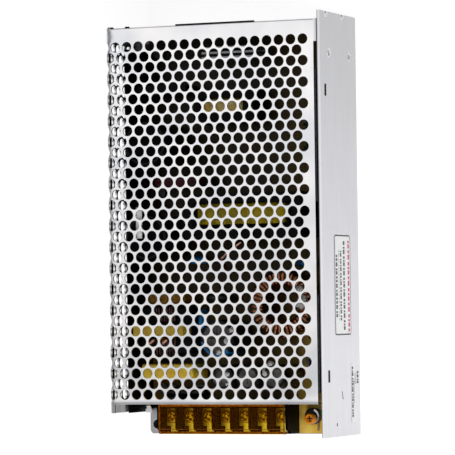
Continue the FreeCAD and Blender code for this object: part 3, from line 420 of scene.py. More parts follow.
def rounded_outline(x0, x1, y0, y1, radius, steps=5):
    points = []
    for cx, cy, start in ((x1 - radius, y1 - radius, 0), (x0 + radius, y1 - radius, 90),
                          (x0 + radius, y0 + radius, 180), (x1 - radius, y0 + radius, 270)):
        points += arc(cx, cy, radius, start, start + 90, steps)
    return points


def joined(name, pieces, finish, smooth=40.0):
    """Makes one mesh of several and removes the pieces."""
    work = bmesh.new()
    for piece in pieces:
        work.from_mesh(piece.data)
        bpy.data.objects.remove(piece)
    return as_object(name, as_mesh(name, work), finish, smooth)


def evaluated(carrier):
    """The plain mesh that an object's curve or live modifiers make."""
    graph = bpy.context.evaluated_depsgraph_get()
    return bpy.data.meshes.new_from_object(carrier.evaluated_get(graph), depsgraph=graph)


def show(piece, replaced=(), body=CASE):
    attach(piece, body)
    if replaced:
        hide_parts(*replaced)


def extent(node_name):
    """A CAD node's lowest and highest corner in millimetres."""
    low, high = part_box(node_name)
    return [c / MM for c in low], [c / MM for c in high]


def middle(node_name):
    low, high = extent(node_name)
    return [(a + b) / 2 for a, b in zip(low, high)]


def upright(node_name):
    """A round node that stands upright: its middle's x and y, radius, foot and top in millimetres."""
    low, high = extent(node_name)
    x, y, _ = middle(node_name)
    return x, y, (high[0] - low[0]) / 2, low[2], high[2]


# Geometry Nodes: what repeats

def new_tree(name, sockets):
    tree = bpy.data.node_groups.new(name, "GeometryNodeTree")
    tree.interface.new_socket("Geometry", in_out="INPUT", socket_type="NodeSocketGeometry")
    for socket_name, kind in sockets.items():
        tree.interface.new_socket(socket_name, in_out="INPUT", socket_type="NodeSocket" + kind)
    tree.interface.new_socket("Geometry", in_out="OUTPUT", socket_type="NodeSocketGeometry")
    return tree, add(tree, "NodeGroupInput").outputs


def grow(name, tree, mesh, values, finish, smooth=40.0):
    """Runs a tree on a mesh of points and keeps its result as a plain mesh."""
    carrier = linked(name, mesh)
    modifier = carrier.modifiers.new("grow", "NODES")
    modifier.node_group = tree
    values = dict(values, finish=finish)
    for item in tree.interface.items_tree:
        if item.in_out == "INPUT" and item.name in values:
            modifier[item.identifier] = values[item.name]
    carrier.update_tag()
    mesh = evaluated(carrier)
    bpy.data.objects.remove(carrier)
    return as_object(name, mesh, finish, smooth)


def finished(tree, given, geometry):
    """Ends a tree with one finish on everything it made."""
    coloured = add(tree, "GeometryNodeSetMaterial", {"Geometry": geometry, "Material": given["finish"]})
    add(tree, "NodeGroupOutput", {"Geometry": coloured})
    return tree


def copies_tree():
    """Copies one piece to every point, each with its own turn and span."""
    tree, given = new_tree("copies_at_places", {"piece": "Object", "finish": "Material"})
    info = add(tree, "GeometryNodeObjectInfo", {"Object": given["piece"]})
    turn, span = [add(tree, "GeometryNodeInputNamedAttribute", {"Name": label}, data_type="FLOAT_VECTOR")
                  for label in ("turn", "span")]
    spread = add(tree, "GeometryNodeInstanceOnPoints", {
        "Points": given["Geometry"], "Instance": info.outputs["Geometry"], "Rotation": turn, "Scale": span})
    real = add(tree, "GeometryNodeRealizeInstances", {"Geometry": spread})
    return finished(tree, given, real)


COPIES = copies_tree()


def repeated(name, piece, places, finish, turns=None, spans=None, smooth=40.0):
    """One mesh of a piece copied to every place; the piece itself is removed."""
    mesh = bpy.data.meshes.new(name)
    mesh.from_pydata([[c * MM for c in place] for place in places], [], [])
    for label, values, plain in (("turn", turns, (0, 0, 0)), ("span", spans, (1, 1, 1))):
        attribute = mesh.attributes.new(label, "FLOAT_VECTOR", "POINT")
        for i in range(len(places)):
            attribute.data[i].vector = values[i] if values else plain
    made = grow(name, COPIES, mesh, {"piece": piece}, finish, smooth)
    bpy.data.objects.remove(piece)
    return made


# The punched cover

COLUMN_PITCH = 5.993
ROW_PITCH = 5.014
HOLE = 4.95
FIRST_COLUMN = 1.4025
FIRST_ROW = 51.262
# The field of cells reaches past the sheet's edges; the holes keep a plain margin inside them.
FIELD_ROWS = range(-27, 10)
FIELD_COLUMNS = range(-18, 9)
HOLE_ROWS = (-26, 7)
HOLE_COLUMNS = (-14, 7.5)
COVER_RIGHT = 51.7
COVER_LEFT = -55.0
COVER_TOP = 50.0
COVER_FRONT = -83.7
COVER_REAR = 95.7
COVER_BEND = 3.0
COVER_SHEET = 0.8
EDGE_BEND = 1.0
LIP_FOOT = 45.5
REAR_WALL_FOOT = 2.4
TAIL_FRONT = -88.0
TAB_FRONT = 85.0
TAB_REACH = 53.2


def sheet_tile(name, punched):
    """One six-sided cell of the sheet, flat, with or without its round hole."""
    half = COLUMN_PITCH / 2
    shoulder = (ROW_PITCH ** 2 - half ** 2) / (2 * ROW_PITCH)
    peak = ROW_PITCH - shoulder
    corners = [(half, shoulder), (0, peak), (-half, shoulder),
               (-half, -shoulder), (0, -peak), (half, -shoulder)]
    rim = []
    for i, corner in enumerate(corners):
        before = corners[i - 1]
        rim += [((corner[0] + before[0]) / 2, (corner[1] + before[1]) / 2), corner]
    sides = 24 if punched else 6
    inner = arc(0, 0, HOLE / 2, 0, 360, sides)[:-1]
    work = bmesh.new()
    outer_ring, inner_ring = [[work.verts.new((x * MM, y * MM, 0)) for x, y in ring] for ring in (rim, inner)]
    count = len(rim)
    for i in range(count):
        a, b = outer_ring[i], outer_ring[(i + 1) % count]
        if punched:
            p, q, r = (inner_ring[(2 * i + k) % sides] for k in range(3))
            for face in ((a, q, p), (a, b, q), (b, r, q)):
                work.faces.new(face)
        else:
            p, q = inner_ring[(i // 2) % sides], inner_ring[(i // 2 + 1) % sides]
            work.faces.new((a, b, p) if i % 2 == 0 else (a, b, q))
            if i % 2:
                work.faces.new((p, a, q))
    if not punched:
        centre = work.verts.new((0, 0, 0))
        for i in range(sides):
            work.faces.new((centre, inner_ring[i], inner_ring[(i + 1) % sides]))
    for face in work.faces:
        face.normal_update()
        if face.normal.z < 0:
            face.normal_flip()
    return linked(name, as_mesh(name, work))


def punched_sheet_tree():
    """Lays cells on a flat field of points, trims them to the sheet and folds its left side down."""
    tree, given = new_tree("punched_sheet", {
        "punched cell": "Object", "plain cell": "Object", "left edge": "Float", "right edge": "Float",
        "front edge": "Float", "rear edge": "Float", "fold line": "Float", "fold radius": "Float",
        "top": "Float", "finish": "Material"})
    marked = add(tree, "GeometryNodeInputNamedAttribute", {"Name": "punched"}, data_type="BOOLEAN")
    unmarked = add(tree, "FunctionNodeBooleanMath", {0: marked}, operation="NOT")
    layers = []
    for label, chosen in (("punched cell", marked), ("plain cell", unmarked)):
        info = add(tree, "GeometryNodeObjectInfo", {"Object": given[label]})
        layers.append(add(tree, "GeometryNodeInstanceOnPoints", {
            "Points": given["Geometry"], "Selection": chosen, "Instance": info.outputs["Geometry"]}))
    both = add(tree, "GeometryNodeJoinGeometry", {0: layers[0]})
    tree.links.new(layers[1].outputs[0], both.inputs[0])
    real = add(tree, "GeometryNodeRealizeInstances", {"Geometry": both})
    flat = add(tree, "ShaderNodeSeparateXYZ", {0: add(tree, "GeometryNodeInputPosition")}).outputs
    x = add(tree, "ShaderNodeClamp", {0: flat[0], "Min": given["left edge"], "Max": given["right edge"]})
    y = add(tree, "ShaderNodeClamp", {0: flat[1], "Min": given["front edge"], "Max": given["rear edge"]})
    place = add(tree, "ShaderNodeCombineXYZ", {0: x, 1: y})
    trimmed = add(tree, "GeometryNodeSetPosition", {"Geometry": real, "Position": place})
    welded = add(tree, "GeometryNodeMergeByDistance", {"Geometry": trimmed, "Distance": 0.03 * MM})
    along = add(tree, "ShaderNodeSeparateXYZ", {0: add(tree, "GeometryNodeInputPosition")}).outputs
    value = {
        "x": along[0], "top": given["top"], "fold line": given["fold line"], "radius": given["fold radius"]}
    for name, operation, first, second in (
            ("reach", "SUBTRACT", "fold line", "x"), ("past", "MAXIMUM", "reach", 0.0),
            ("share", "DIVIDE", "past", "radius"), ("angle", "MINIMUM", "share", pi / 2),
            ("bent", "MULTIPLY", "radius", pi / 2), ("spare", "SUBTRACT", "past", "bent"),
            ("straight", "MAXIMUM", "spare", 0.0), ("sine", "SINE", "angle", 0.0),
            ("sideways", "MULTIPLY", "radius", "sine"), ("cosine", "COSINE", "angle", 0.0),
            ("share sunk", "SUBTRACT", 1.0, "cosine"), ("sunk", "MULTIPLY", "radius", "share sunk"),
            ("flat x", "MAXIMUM", "x", "fold line"), ("new x", "SUBTRACT", "flat x", "sideways"),
            ("bend z", "SUBTRACT", "top", "sunk"), ("new z", "SUBTRACT", "bend z", "straight")):
        inputs = {0: value.get(first, first), 1: value.get(second, second)}
        value[name] = add(tree, "ShaderNodeMath", inputs, operation=operation)
    place = add(tree, "ShaderNodeCombineXYZ", {0: value["new x"], 1: along[1], 2: value["new z"]})
    folded = add(tree, "GeometryNodeSetPosition", {"Geometry": welded, "Position": place})
    return finished(tree, given, folded)


def strip(name, outline, low, high, axis, finish):
    """An open outline drawn out into a strip of sheet; its left hand side is the outside."""
    work = bmesh.new()
    rows = []
    for h in (low, high):
        places = [(h, a, b) if axis == "X" else (a, h, b) for a, b in outline]
        rows.append([work.verts.new([c * MM for c in place]) for place in places])
    for i in range(len(outline) - 1):
        work.faces.new((rows[0][i], rows[0][i + 1], rows[1][i + 1], rows[1][i]))
    return as_object(name, as_mesh(name, work), finish)


def cleaned(piece):
    """Takes out the cells that trimming squeezed to nothing."""
    work = bmesh.new()
    work.from_mesh(piece.data)
    bmesh.ops.dissolve_degenerate(work, dist=0.02 * MM, edges=work.edges[:])
    thin = [face for face in work.faces if face.calc_area() < (0.05 * MM) ** 2]
    bmesh.ops.delete(work, geom=thin, context="FACES")
    bmesh.ops.delete(work, geom=[vert for vert in work.verts if not vert.link_faces], context="VERTS")
    work.to_mesh(piece.data)
    work.free()


def thickened(piece, sheet):
    wall = piece.modifiers.new("sheet", "SOLIDIFY")
    wall.thickness = sheet * MM
    wall.offset = -1.0
    mesh = evaluated(piece)
    piece.modifiers.clear()
    piece.data = mesh


def cell_field():
    """The cells' places as points, each marked where the sheet is punched."""
    mesh = bpy.data.meshes.new("cells")
    places, marks = [], []
    for row in FIELD_ROWS:
        for column in FIELD_COLUMNS:
            u = column + 0.5 * (row % 2)
            places.append(((FIRST_COLUMN + u * COLUMN_PITCH) * MM, (FIRST_ROW + row * ROW_PITCH) * MM, 0))
            marks.append(HOLE_ROWS[0] <= row <= HOLE_ROWS[1] and HOLE_COLUMNS[0] <= u <= HOLE_COLUMNS[1])
    mesh.from_pydata(places, [], [])
    attribute = mesh.attributes.new("punched", "BOOLEAN", "POINT")
    for i, mark in enumerate(marks):
        attribute.data[i].value = mark
    return mesh


def punched_cover():
    """The folded sheet: punched top and left wall, front lip, rear wall, end strips and the rear tab."""
    fold_line = COVER_LEFT + COVER_BEND
    wall_length = COVER_TOP - COVER_BEND + pi / 2 * COVER_BEND
    r = EDGE_BEND
    field = cell_field()
    cells = sheet_tile("punched_cell", True), sheet_tile("plain_cell", False)
    sheet = grow("cover_sheet", punched_sheet_tree(), field, {
        "punched cell": cells[0], "plain cell": cells[1], "left edge": (fold_line - wall_length) * MM,
        "right edge": COVER_RIGHT * MM, "front edge": (COVER_FRONT + r) * MM,
        "rear edge": (COVER_REAR - r) * MM, "fold line": fold_line * MM, "fold radius": COVER_BEND * MM,
        "top": COVER_TOP * MM}, plated_steel)
    for cell in cells:
        bpy.data.objects.remove(cell)
    cleaned(sheet)
    front_fold = arc(COVER_FRONT + r, COVER_TOP - r, r, 90, 180) + [(COVER_FRONT, LIP_FOOT)]
    rear_fold = [(COVER_REAR, REAR_WALL_FOOT)] + arc(COVER_REAR - r, COVER_TOP - r, r, 0, 90)
    side = arc(fold_line, COVER_TOP - COVER_BEND, COVER_BEND, 90, 180) + [(COVER_LEFT, 0.0)]
    tab = [(COVER_RIGHT, COVER_TOP), (TAB_REACH, COVER_TOP)]
    strips = [
        strip("front_lip", front_fold, fold_line, COVER_RIGHT, "X", plated_steel),
        strip("rear_lip", rear_fold, fold_line, COVER_RIGHT, "X", plated_steel),
        strip("front_tail", side[::-1], TAIL_FRONT, COVER_FRONT + r, "Y", plated_steel),
        strip("rear_tail", side[::-1], COVER_REAR - r, COVER_REAR, "Y", plated_steel),
        strip("rear_tab", tab, TAB_FRONT, COVER_REAR, "Y", plated_steel),
    ]
    for piece in [sheet] + strips:
        thickened(piece, COVER_SHEET)
    cover = joined("punched_cover", [sheet] + strips, plated_steel, 30.0)
    show(cover, ["perforated_cover"])
    inner = COVER_LEFT + COVER_SHEET
    satin = block("tail_inner_side", (inner, -87.9, 27.5), (inner + 0.08, -83.0, 46.8), 0.0, satin_steel)
    show(satin)
    film = block("film_upper_edge", (inner + 0.12, -82.5, 45.2), (inner + 0.2, 94.0, 47.5), 0.0, black_film)
    show(film)


punched_cover()


# Wire and tube swept along a path

def tube(name, path, width, finish, closed=False, sides=6):
    """A round wire through the points, joined up when closed."""
    curve = bpy.data.curves.new(name, "CURVE")
    curve.dimensions = "3D"
    curve.bevel_depth = width / 2 * MM
    curve.bevel_resolution = max(0, sides // 2 - 2)
    curve.use_fill_caps = not closed
    line = curve.splines.new("POLY")
    line.points.add(len(path) - 1)
    for point, place in zip(line.points, path):
        point.co = [c * MM for c in place] + [1.0]
    line.use_cyclic_u = closed
    carrier = linked(name, curve)
    mesh = evaluated(carrier)
    bpy.data.objects.remove(carrier)
    return as_object(name, mesh, finish)


# Capacitors

CANS = [f"bulk_capacitor_{i}" for i in (1, 2)] + [f"output_capacitor_{i}" for i in (1, 2, 3, 4)]


def cans():
    """Each can: a shrunk sleeve curled over the rim, round a lid that lies a little lower.

    The output cans have a bare lid pressed with a vent cross, the bulk cans a plain disc of film."""
    curl, sunk, lid_radius = 1.5, 0.7, 10
    lids = {"bulk": [], "output": []}
    for name in CANS:
        x, y, r, z0, z1 = upright(name)
        outline = [(0, z0 + 0.1), (r - 0.7, z0 + 0.1), (r - 0.1, z0 + 0.8), (r, z0 + 1.6),
                   (r - 0.35, z0 + 2.3), (r, z0 + 3.0), (r, z1 - 1.0), (r - 0.3, z1 - 0.3),
                   (r - 0.9, z1), (r - curl, z1 - 0.1), (r - curl, z1 - sunk), (0, z1 - sunk)]
        show(turned(name + "_sleeve", outline, (x, y, 0), dark_sleeve, 36), [name])
        span = (r - curl) / lid_radius
        lids[name.split("_")[0]].append(((x, y, z1 - sunk), (span, span, 1)))
    for name, kind, finish, slot in (("can_lids", "output", bare_lid, "sink_aluminium"),
                                     ("can_discs", "bulk", black_film, "can_sleeve")):
        outline = [(0, 0), (lid_radius, 0), (lid_radius, 0.35), (lid_radius - 0.6, 0.5), (0, 0.5)]
        lid = turned("lid", outline, (0, 0, 0), finish, 32)
        places, spans = zip(*lids[kind])
        show(repeated(name, lid, places, finish, spans=spans))
    bar = block("vent_bar", (-7, -0.3, 0), (7, 0.3, 0.55), 0.1, ferrite, 1)
    places, spans, turns = zip(*[(place, span, (0, 0, radians(degrees)))
                                 for place, span in lids["output"] for degrees in (0, 90)])
    show(repeated("vent_crosses", bar, places, ferrite, turns=turns, spans=spans))


def pole_stripe():
    """A painted highlight: a bright blue band down the front left of one can's sleeve, which curls over its
    rim.
    """
    x, y, r, z0, z1 = upright("output_capacitor_4")
    foot = z0 + 4.0
    outline = [(r + 0.01, foot), (r + 0.01, z1 - 1.0), (r - 0.28, z1 - 0.26), (r - 0.9, z1 + 0.02),
               (r - 1.5, z1 - 0.05), (r - 1.4, z1 - 0.5), (r - 0.5, z1 - 1.2), (r - 0.4, foot)]
    work = bmesh.new()
    rings = []
    for degrees in range(192, 313, 8):
        c, s = cos(radians(degrees)), sin(radians(degrees))
        rings.append([work.verts.new((x + a * c, y + a * s, b)) for a, b in outline])
    count = len(outline)
    for first, second in zip(rings, rings[1:]):
        for i in range(count):
            work.faces.new((first[i], first[(i + 1) % count], second[(i + 1) % count], second[i]))
    work.faces.new(rings[0])
    work.faces.new(rings[-1])
    show(from_bmesh("pole_stripe", work, blue_sleeve))


def glue_lumps():
    """White silicone set between the tall cans and beside the toroid, in soft flattened lumps."""
    work = bmesh.new()
    bmesh.ops.create_icosphere(work, subdivisions=3, radius=1.0)
    for vert in work.verts:
        c = vert.co
        swell = 1 + 0.16 * sin(5 * c.x + 1) * cos(4 * c.y) + 0.1 * sin(7 * c.z + 2 * c.x)
        vert.co = c * swell
    lump = from_bmesh("lump", work, white_glue, 180)
    places, spans = zip(
        ((0.2, -54.2, 33.4), (2.2, 1.6, 1.3)), ((-0.3, -69.9, 33.2), (1.6, 1.3, 1.1)),
        ((-0.2, -74.6, 33.2), (1.4, 1.1, 1.0)), ((21.7, -65.2, 33.2), (1.3, 1.6, 1.0)),
        ((18.7, -69.0, 33.4), (2.0, 1.4, 0.8)), ((-4.7, -59.4, 33.4), (1.5, 1.6, 1.0)),
        ((1.5, -49.0, 33.3), (1.4, 1.2, 1.0)), ((34.4, -36.0, 24.8), (2.6, 3.4, 1.2)),
        ((33.4, -30.0, 24.6), (2.0, 1.6, 0.9)))
    turns = [(0.1, 0.2, 0.4 * i) for i in range(len(places))]
    lumps = repeated("glue_lumps", lump, places, white_glue, turns=turns, spans=spans, smooth=180)
    show(lumps)


def dipped_disc(name, finish):
    """A ceramic disc dipped in epoxy, thick in the middle and thin at the rim, with its two leads."""
    low, high = extent(name)
    x, y, _ = middle(name)
    width, depth = high[0] - low[0], high[1] - low[1]
    across = "Y" if depth < width else "X"
    r, t = max(width, depth) / 2, min(width, depth) / 2
    rim = [(0.62, 0.92), (0.86, 0.66), (0.97, 0.3)]
    outline = [(0, -t)] + [(r * a, -t * b) for a, b in rim] + [(r, 0)]
    outline += [(r * a, t * b) for a, b in rim[::-1]] + [(0, t)]
    body = turned(name + "_body", outline, (x, y, high[2] - r), finish, 32, axis=across, smooth=80)
    legs = []
    for side in (-1, 1):
        dx, dy = (side * r / 2, 0) if across == "Y" else (0, side * r / 2)
        legs.append(tube("leg", [(x + dx, y + dy, low[2]), (x + dx, y + dy, high[2] - r * 1.6)], 0.7, finish))
    show(joined(name + "_body", [body] + legs, finish, 80), replaced=[name])


def boxes_and_films():
    low, high = extent("x_capacitor")
    show(block("x_capacitor_case", low, high, 0.9, yellow_box, 3), replaced=["x_capacitor"])
    for name, finish in (("film_capacitor_red", maroon_dip), ("film_capacitor_orange", orange_dip)):
        low, high = extent(name)
        radius = (high[1] - low[1]) / 2 - 0.02
        outline = rounded_outline(low[0], high[0], low[1], high[1], radius, 8)
        body = drawn(name + "_body", outline, low[2], high[2], finish, edge=1.2, steps=3)
        show(body, replaced=[name])


cans()
pole_stripe()
glue_lumps()
for disc in ("y_capacitor_1", "y_capacitor_2", "y_capacitor_3"):
    dipped_disc(disc, blue_dip)
dipped_disc("thermistor", green_dip)
boxes_and_films()


# Wound parts

def wire_loop(half_a, half_b, wire, finish, round_by=1.2):
    """One closed turn of wire, standing in the XZ plane round the origin."""
    outline = rounded_outline(-half_a, half_a, -half_b, half_b, round_by, 3)
    return tube("turn", [(a, 0, b) for a, b in outline], wire, finish, closed=True, sides=8)


def ring_winding():
    x, y, outer, foot, top = upright("toroid_winding")
    inner, wire, count = 9.0, 1.5, 40
    mean = (outer + inner) / 2
    turn = wire_loop((outer - inner - wire) / 2, (top - foot - wire) / 2, wire, copper)
    places, turns = [], []
    for i in range(count):
        angle = 2 * pi * (i + 0.5) / count
        places.append((x + mean * cos(angle), y + mean * sin(angle), (foot + top) / 2))
        turns.append((0, 0, angle + 0.035 * sin(3.7 * i)))
    show(repeated("ring_winding", turn, places, copper, turns=turns), ["toroid_winding"])


def choke_coils():
    low, high = extent("line_choke_winding")
    limb, build, wire, count, margin = 6.5, 1.7, 1.3, 8, 0.3
    depth = limb + 2 * build
    step = (high[0] - low[0] - wire - 2 * margin) / (count - 1)
    turn = wire_loop((depth - wire) / 2, (high[2] - low[2] - wire) / 2, wire, dark_copper, 1.4)
    places, turns = [], []
    for side in (low[1] + depth / 2, high[1] - depth / 2):
        for i in range(count):
            places.append((low[0] + wire / 2 + margin + i * step, side, (low[2] + high[2]) / 2))
            turns.append((0, 0, pi / 2 + 0.05 * sin(2.3 * i)))
    coils = repeated("choke_coils", turn, places, dark_copper, turns=turns)
    show(coils, ["line_choke_winding"])


def taped_coil(name, finish, wraps):
    """A coil along X under tape: soft corners and the raised edges of its outer wraps."""
    low, high = extent(name)
    length, raised = high[0] - low[0], 0.18
    pieces = [block(name + "_coil", low, high, 2.6, finish, 4)]
    for start, end in wraps:
        wrap_low = low[0] + start * length, low[1] - raised, low[2] - raised
        wrap_high = low[0] + end * length, high[1] + raised, high[2] + raised
        pieces.append(block("wrap", wrap_low, wrap_high, 2.7, finish, 4))
    show(joined(name + "_coil", pieces, finish, 50), replaced=[name])


def black_margin():
    """Black film wound along the front of the transformer's coil, over the tape."""
    low, high = extent("transformer_winding")
    wrap = block("coil_margin", [c - 0.2 for c in low], (high[0] + 0.2, 1.0, high[2] + 0.22), 0.4, black_film)
    show(wrap)


ring_winding()
choke_coils()
taped_coil("transformer_winding", yellow_tape, ((0.06, 0.44), (0.55, 0.93)))
black_margin()
taped_coil("drive_transformer_winding", pale_tape, ((0.1, 0.9),))


# Terminals

def terminal_screw(number):
    """A brass pan head with a dark cross recess and a domed rim."""
    head = f"terminal_screw_{number}"
    x, y, r, foot, top = upright(head)
    seat = top - 2.2
    outline = [(0, foot), (1.3, foot), (1.5, foot + 0.3), (1.5, seat), (r - 0.2, seat), (r, seat + 0.3),
               (r, top - 0.9), (r - 0.35, top - 0.3), (r - 1.0, top), (1.7, top), (1.45, top - 0.15),
               (0.9, top - 1.1), (0, top - 1.2)]
    body = turned("head", outline, (x, y, 0), brass, 32)
    ribs = []
    half, start, end = 0.34, 0.9, 2.1
    for angle in (0.35, 0.35 + pi / 2):
        for side in (-1, 1):
            c, s = cos(angle) * side, sin(angle) * side
            rib = [(x + c * along - s * across, y + s * along + c * across)
                   for along, across in ((start, half), (start, -half), (end, -half), (end, half))]
            ribs.append(drawn("recess", rib, top - 0.5, top + 0.01, black_oxide))
    recess = joined("recess", ribs, black_oxide)
    show(body, [head], body=head)
    body.name = body.data.name = head + "_brass"
    recess.name = recess.data.name = head + "_recess"
    show(recess, body=head)


def clamp_plate(number):
    """The square plate under a screw, with the raised ring that its head bears on."""
    name = f"clamp_washer_{number}"
    x, y, half, z0, z1 = upright(name)
    outline = rounded_outline(x - half, x + half, y - half, y + half, 0.7, 3)
    plate = drawn(name + "_plate", outline, z0, z1 - 0.25, brass, edge=0.15)
    profile = [(1.7, z1 - 0.3), (2.95, z1 - 0.3), (2.95, z1 - 0.05), (2.8, z1), (1.7, z1), (1.7, z1 - 0.3)]
    ring = turned("ring", profile, (x, y, 0), brass, 28)
    show(joined(name + "_plate", [plate, ring], brass), [name], body=name)


for number in range(1, 8):
    terminal_screw(number)
    clamp_plate(number)


def flap():
    """The amber flap: a clear folded sheet with glowing cut edges and the barrel it turns on."""
    low, high = extent("terminal_cover")
    hinge_y, hinge_z, pin, barrel, sheet, web, rim = -84.4, 21.5, 1.2, 1.3, 1.2, 1.05, 0.3
    x0, x1 = low[0] + pin, high[0] - pin
    nose, top, lip, tail = low[1], high[2], 20.1, hinge_y + web
    under = top - sheet
    fold = arc(nose + sheet, top - sheet, sheet, 180, 90, 5)
    outline = [(nose, lip + rim)] + fold + [
        (tail - 0.6, top), (tail, top - 0.6), (tail, hinge_z), (tail - 2 * web, hinge_z),
        (tail - 2 * web, under), (nose + sheet, under), (nose + sheet, lip + rim)]
    clear = drawn("flap_sheet", outline, x0 + rim, x1 - rim, amber_plastic, axis="X")
    show(clear, ["terminal_cover"], body="terminal_cover")
    side = [(nose, lip)] + fold + [(tail, top), (tail, under), (nose + sheet, under), (nose + sheet, lip)]
    pieces = [drawn("edge", side, a, a + rim, amber_edge, axis="X") for a in (x0, x1 - rim)]
    pieces.append(block("edge", (x0, nose, lip), (x1, nose + sheet, lip + rim), 0.05, amber_edge, 1))
    for radius, start, end in ((barrel, x0, x1), (1.0, low[0], high[0])):
        profile = [(0, start), (radius, start), (radius, end), (0, end)]
        pieces.append(turned("edge", profile, (0, hinge_y, hinge_z), amber_edge, 16, axis="X"))
    # A thin ridge across the top near the front edge, in the glowing edge finish: a painted highlight line.
    ridge = (x0 + rim, nose + 2.3, top - 0.05), (x1 - rim, nose + 2.55, top + 0.12)
    pieces.append(block("edge", *ridge, 0.0, amber_edge, 1))
    show(joined("flap_edges", pieces, amber_edge), body="terminal_cover")


flap()


# Trimmer, lamp and the base's corner screw

def trimmer():
    x, y, r, z0, z1 = upright("trimmer_body")
    outline = [(0, z0), (r - 0.3, z0), (r, z0 + 0.4), (r, z1 - 0.5), (r - 0.4, z1 - 0.1), (1.2, z1 - 0.1),
               (1.2, z0 + 1.0), (0, z0 + 1.0)]
    base = turned("trimmer_base", outline, (x, y, 0), dark_moulding, 36)
    show(base, ["trimmer_body"])
    # A pale arc round the rim of the body's top, on the side toward the tall wall: a painted rim highlight.
    track = arc(x, y, r - 0.25, -100, 70, 17) + arc(x, y, r - 1.25, 70, -100, 17)
    show(drawn("trimmer_track", track, z1 - 0.15, z1 + 0.12, light_plate, edge=0.05))
    x, y, r, foot, top = upright("trimmer_rotor")
    seat = top - 3.6
    outline = [(0, foot), (0.98, foot), (0.98, seat), (r - 0.3, seat), (r, seat + 0.4), (r, top - 0.5),
               (r - 0.5, top), (1.75, top), (1.6, top - 0.35), (0, top - 0.35)]
    knob = turned("trimmer_knob", outline, (x, y, 0), orange_moulding, 36)
    show(knob, ["trimmer_rotor"], body="trimmer_rotor")
    bars = [block("slot", (x - a, y - b, top - 0.5), (x + a, y + b, top - 0.33), 0.05, maroon_dip, 1)
            for a, b in ((1.45, 0.32), (0.32, 1.45))]
    show(joined("trimmer_cross", bars, maroon_dip), body="trimmer_rotor")


def green_lamp():
    x, y, _, z0, z1 = upright("led")
    r = 1.5
    dome = [(r * cos(a), z1 - r + r * sin(a)) for a in (0.25, 0.5, 0.75, 1.0, 1.25, 1.42)]
    outline = [(0, z0), (1.85, z0), (1.85, z0 + 0.9), (1.55, z0 + 1.05), (r, z1 - r)] + dome + [(0, z1)]
    show(turned("green_lamp", outline, (x, y, 0), green_lens, 32, smooth=70), ["led"])


def corner_hardware():
    x, y, _, foot, top = upright("corner_screw")
    outline = [(0, foot), (1.35, foot), (1.4, top - 1.6), (2.2, top - 1.6), (2.4, top - 1.3),
               (2.35, top - 0.6), (1.9, top - 0.15), (1.3, top), (1.1, top - 0.1), (0.7, top - 0.8),
               (0, top - 0.8)]
    head = turned("corner_screw_head", outline, (x, y, 0), black_oxide, 32)
    show(head, ["corner_screw"])
    low, high = extent("corner_washer")
    tip, root, points = 3.2, 2.75, 48
    teeth = []
    for i in range(points):
        angle = 2 * pi * i / points
        radius = (tip, tip, root, root)[i % 4]
        teeth.append((x + radius * cos(angle), y + radius * sin(angle)))
    washer = drawn("toothed_washer", teeth, low[2], high[2], light_plate, edge=0.08)
    show(washer, ["corner_washer"])


trimmer()
green_lamp()
corner_hardware()


# Paper labels on the side wall, with plain bars where the print is

WALL_FACE = 55.0


def print_bars(name, rows, finish):
    """Rows of short bars: (z, first y, last y, bar width, lengths to run through)."""
    bar = block("bar", (-0.02, -0.5, -0.5), (0.02, 0.5, 0.5), 0.0, finish)
    places, spans = [], []
    for z, start, end, width, lengths in rows:
        y, i = start, 0
        while y < end:
            length = lengths[i % len(lengths)]
            if y + length <= end:
                places.append((WALL_FACE + 0.13, y + length / 2, z))
                spans.append((1, length, width))
            y += length + lengths[(i + 1) % len(lengths)] * 0.45
            i += 1
    show(repeated(name, bar, places, finish, spans=spans))


def labels():
    for name, inset, height, finish, slot in (("label_paper", 0.0, 0.06, label_paper, "plated_steel"),
                                              ("label_border", 0.35, 0.09, grey_ink, "black_plastic"),
                                              ("label_field", 1.1, 0.12, label_paper, "plated_steel")):
        outline = rounded_outline(-52.4 + inset, -4.4 - inset, 13.3 + inset, 35.2 - inset, 2.2 - inset)
        show(drawn(name, outline, WALL_FACE, WALL_FACE + height, finish, axis="X"))
    print_bars("label_print", [
        (32.3, -43.6, -13.1, 2.1, (1.6, 0.9, 2.0, 1.3, 1.1)), (29.4, -45.0, -11.0, 0.4, (0.9, 1.6, 0.7, 1.2)),
        (26.8, -45.1, -11.6, 1.9, (1.2, 0.8, 1.9, 0.7)), (22.5, -49.6, -7.4, 2.1, (1.8, 0.8, 1.2, 2.2, 0.9)),
    ], grey_ink)
    red_row = (16.5, -50.4, -7.4, 2.0, (1.4, 2.0, 1.1, 1.6, 2.4))
    print_bars("label_red_print", [red_row], red_ink)
    outline = rounded_outline(-93.6, -65.7, 9.8, 14.4, 0.3, 2)
    strip_paper = drawn("strip_paper", outline, WALL_FACE, WALL_FACE + 0.1, label_paper, axis="X")
    show(strip_paper)
    print_bars("strip_print", [
        (12.8, -91.0, -66.8, 1.9, (1.3, 0.7, 0.9, 1.7, 0.6)), (10.9, -84.0, -73.0, 0.7, (0.8, 0.5)),
        (9.2, -75.3, -69.0, 0.5, (0.8, 0.5)), (5.7, -75.1, -68.6, 1.5, (1.1, 0.7, 1.4))], grey_ink)


labels()


# The wall's openings

NOTCH_HEIGHTS = (21.0, 42.6)
HOLE_HEIGHTS = (11.2, 38.4)


def half_ring(name, y, z, outer, inner, x0, x1):
    """The bright front half of a ring round a notch, a painted highlight; its open side lies at the wall's
    rear edge.
    """
    outline = arc(y, z, outer, 90, 270, 12) + arc(y, z, inner, 270, 90, 12)
    show(drawn(name, outline, x0, x1, rim_painted_highlight, axis="X"))


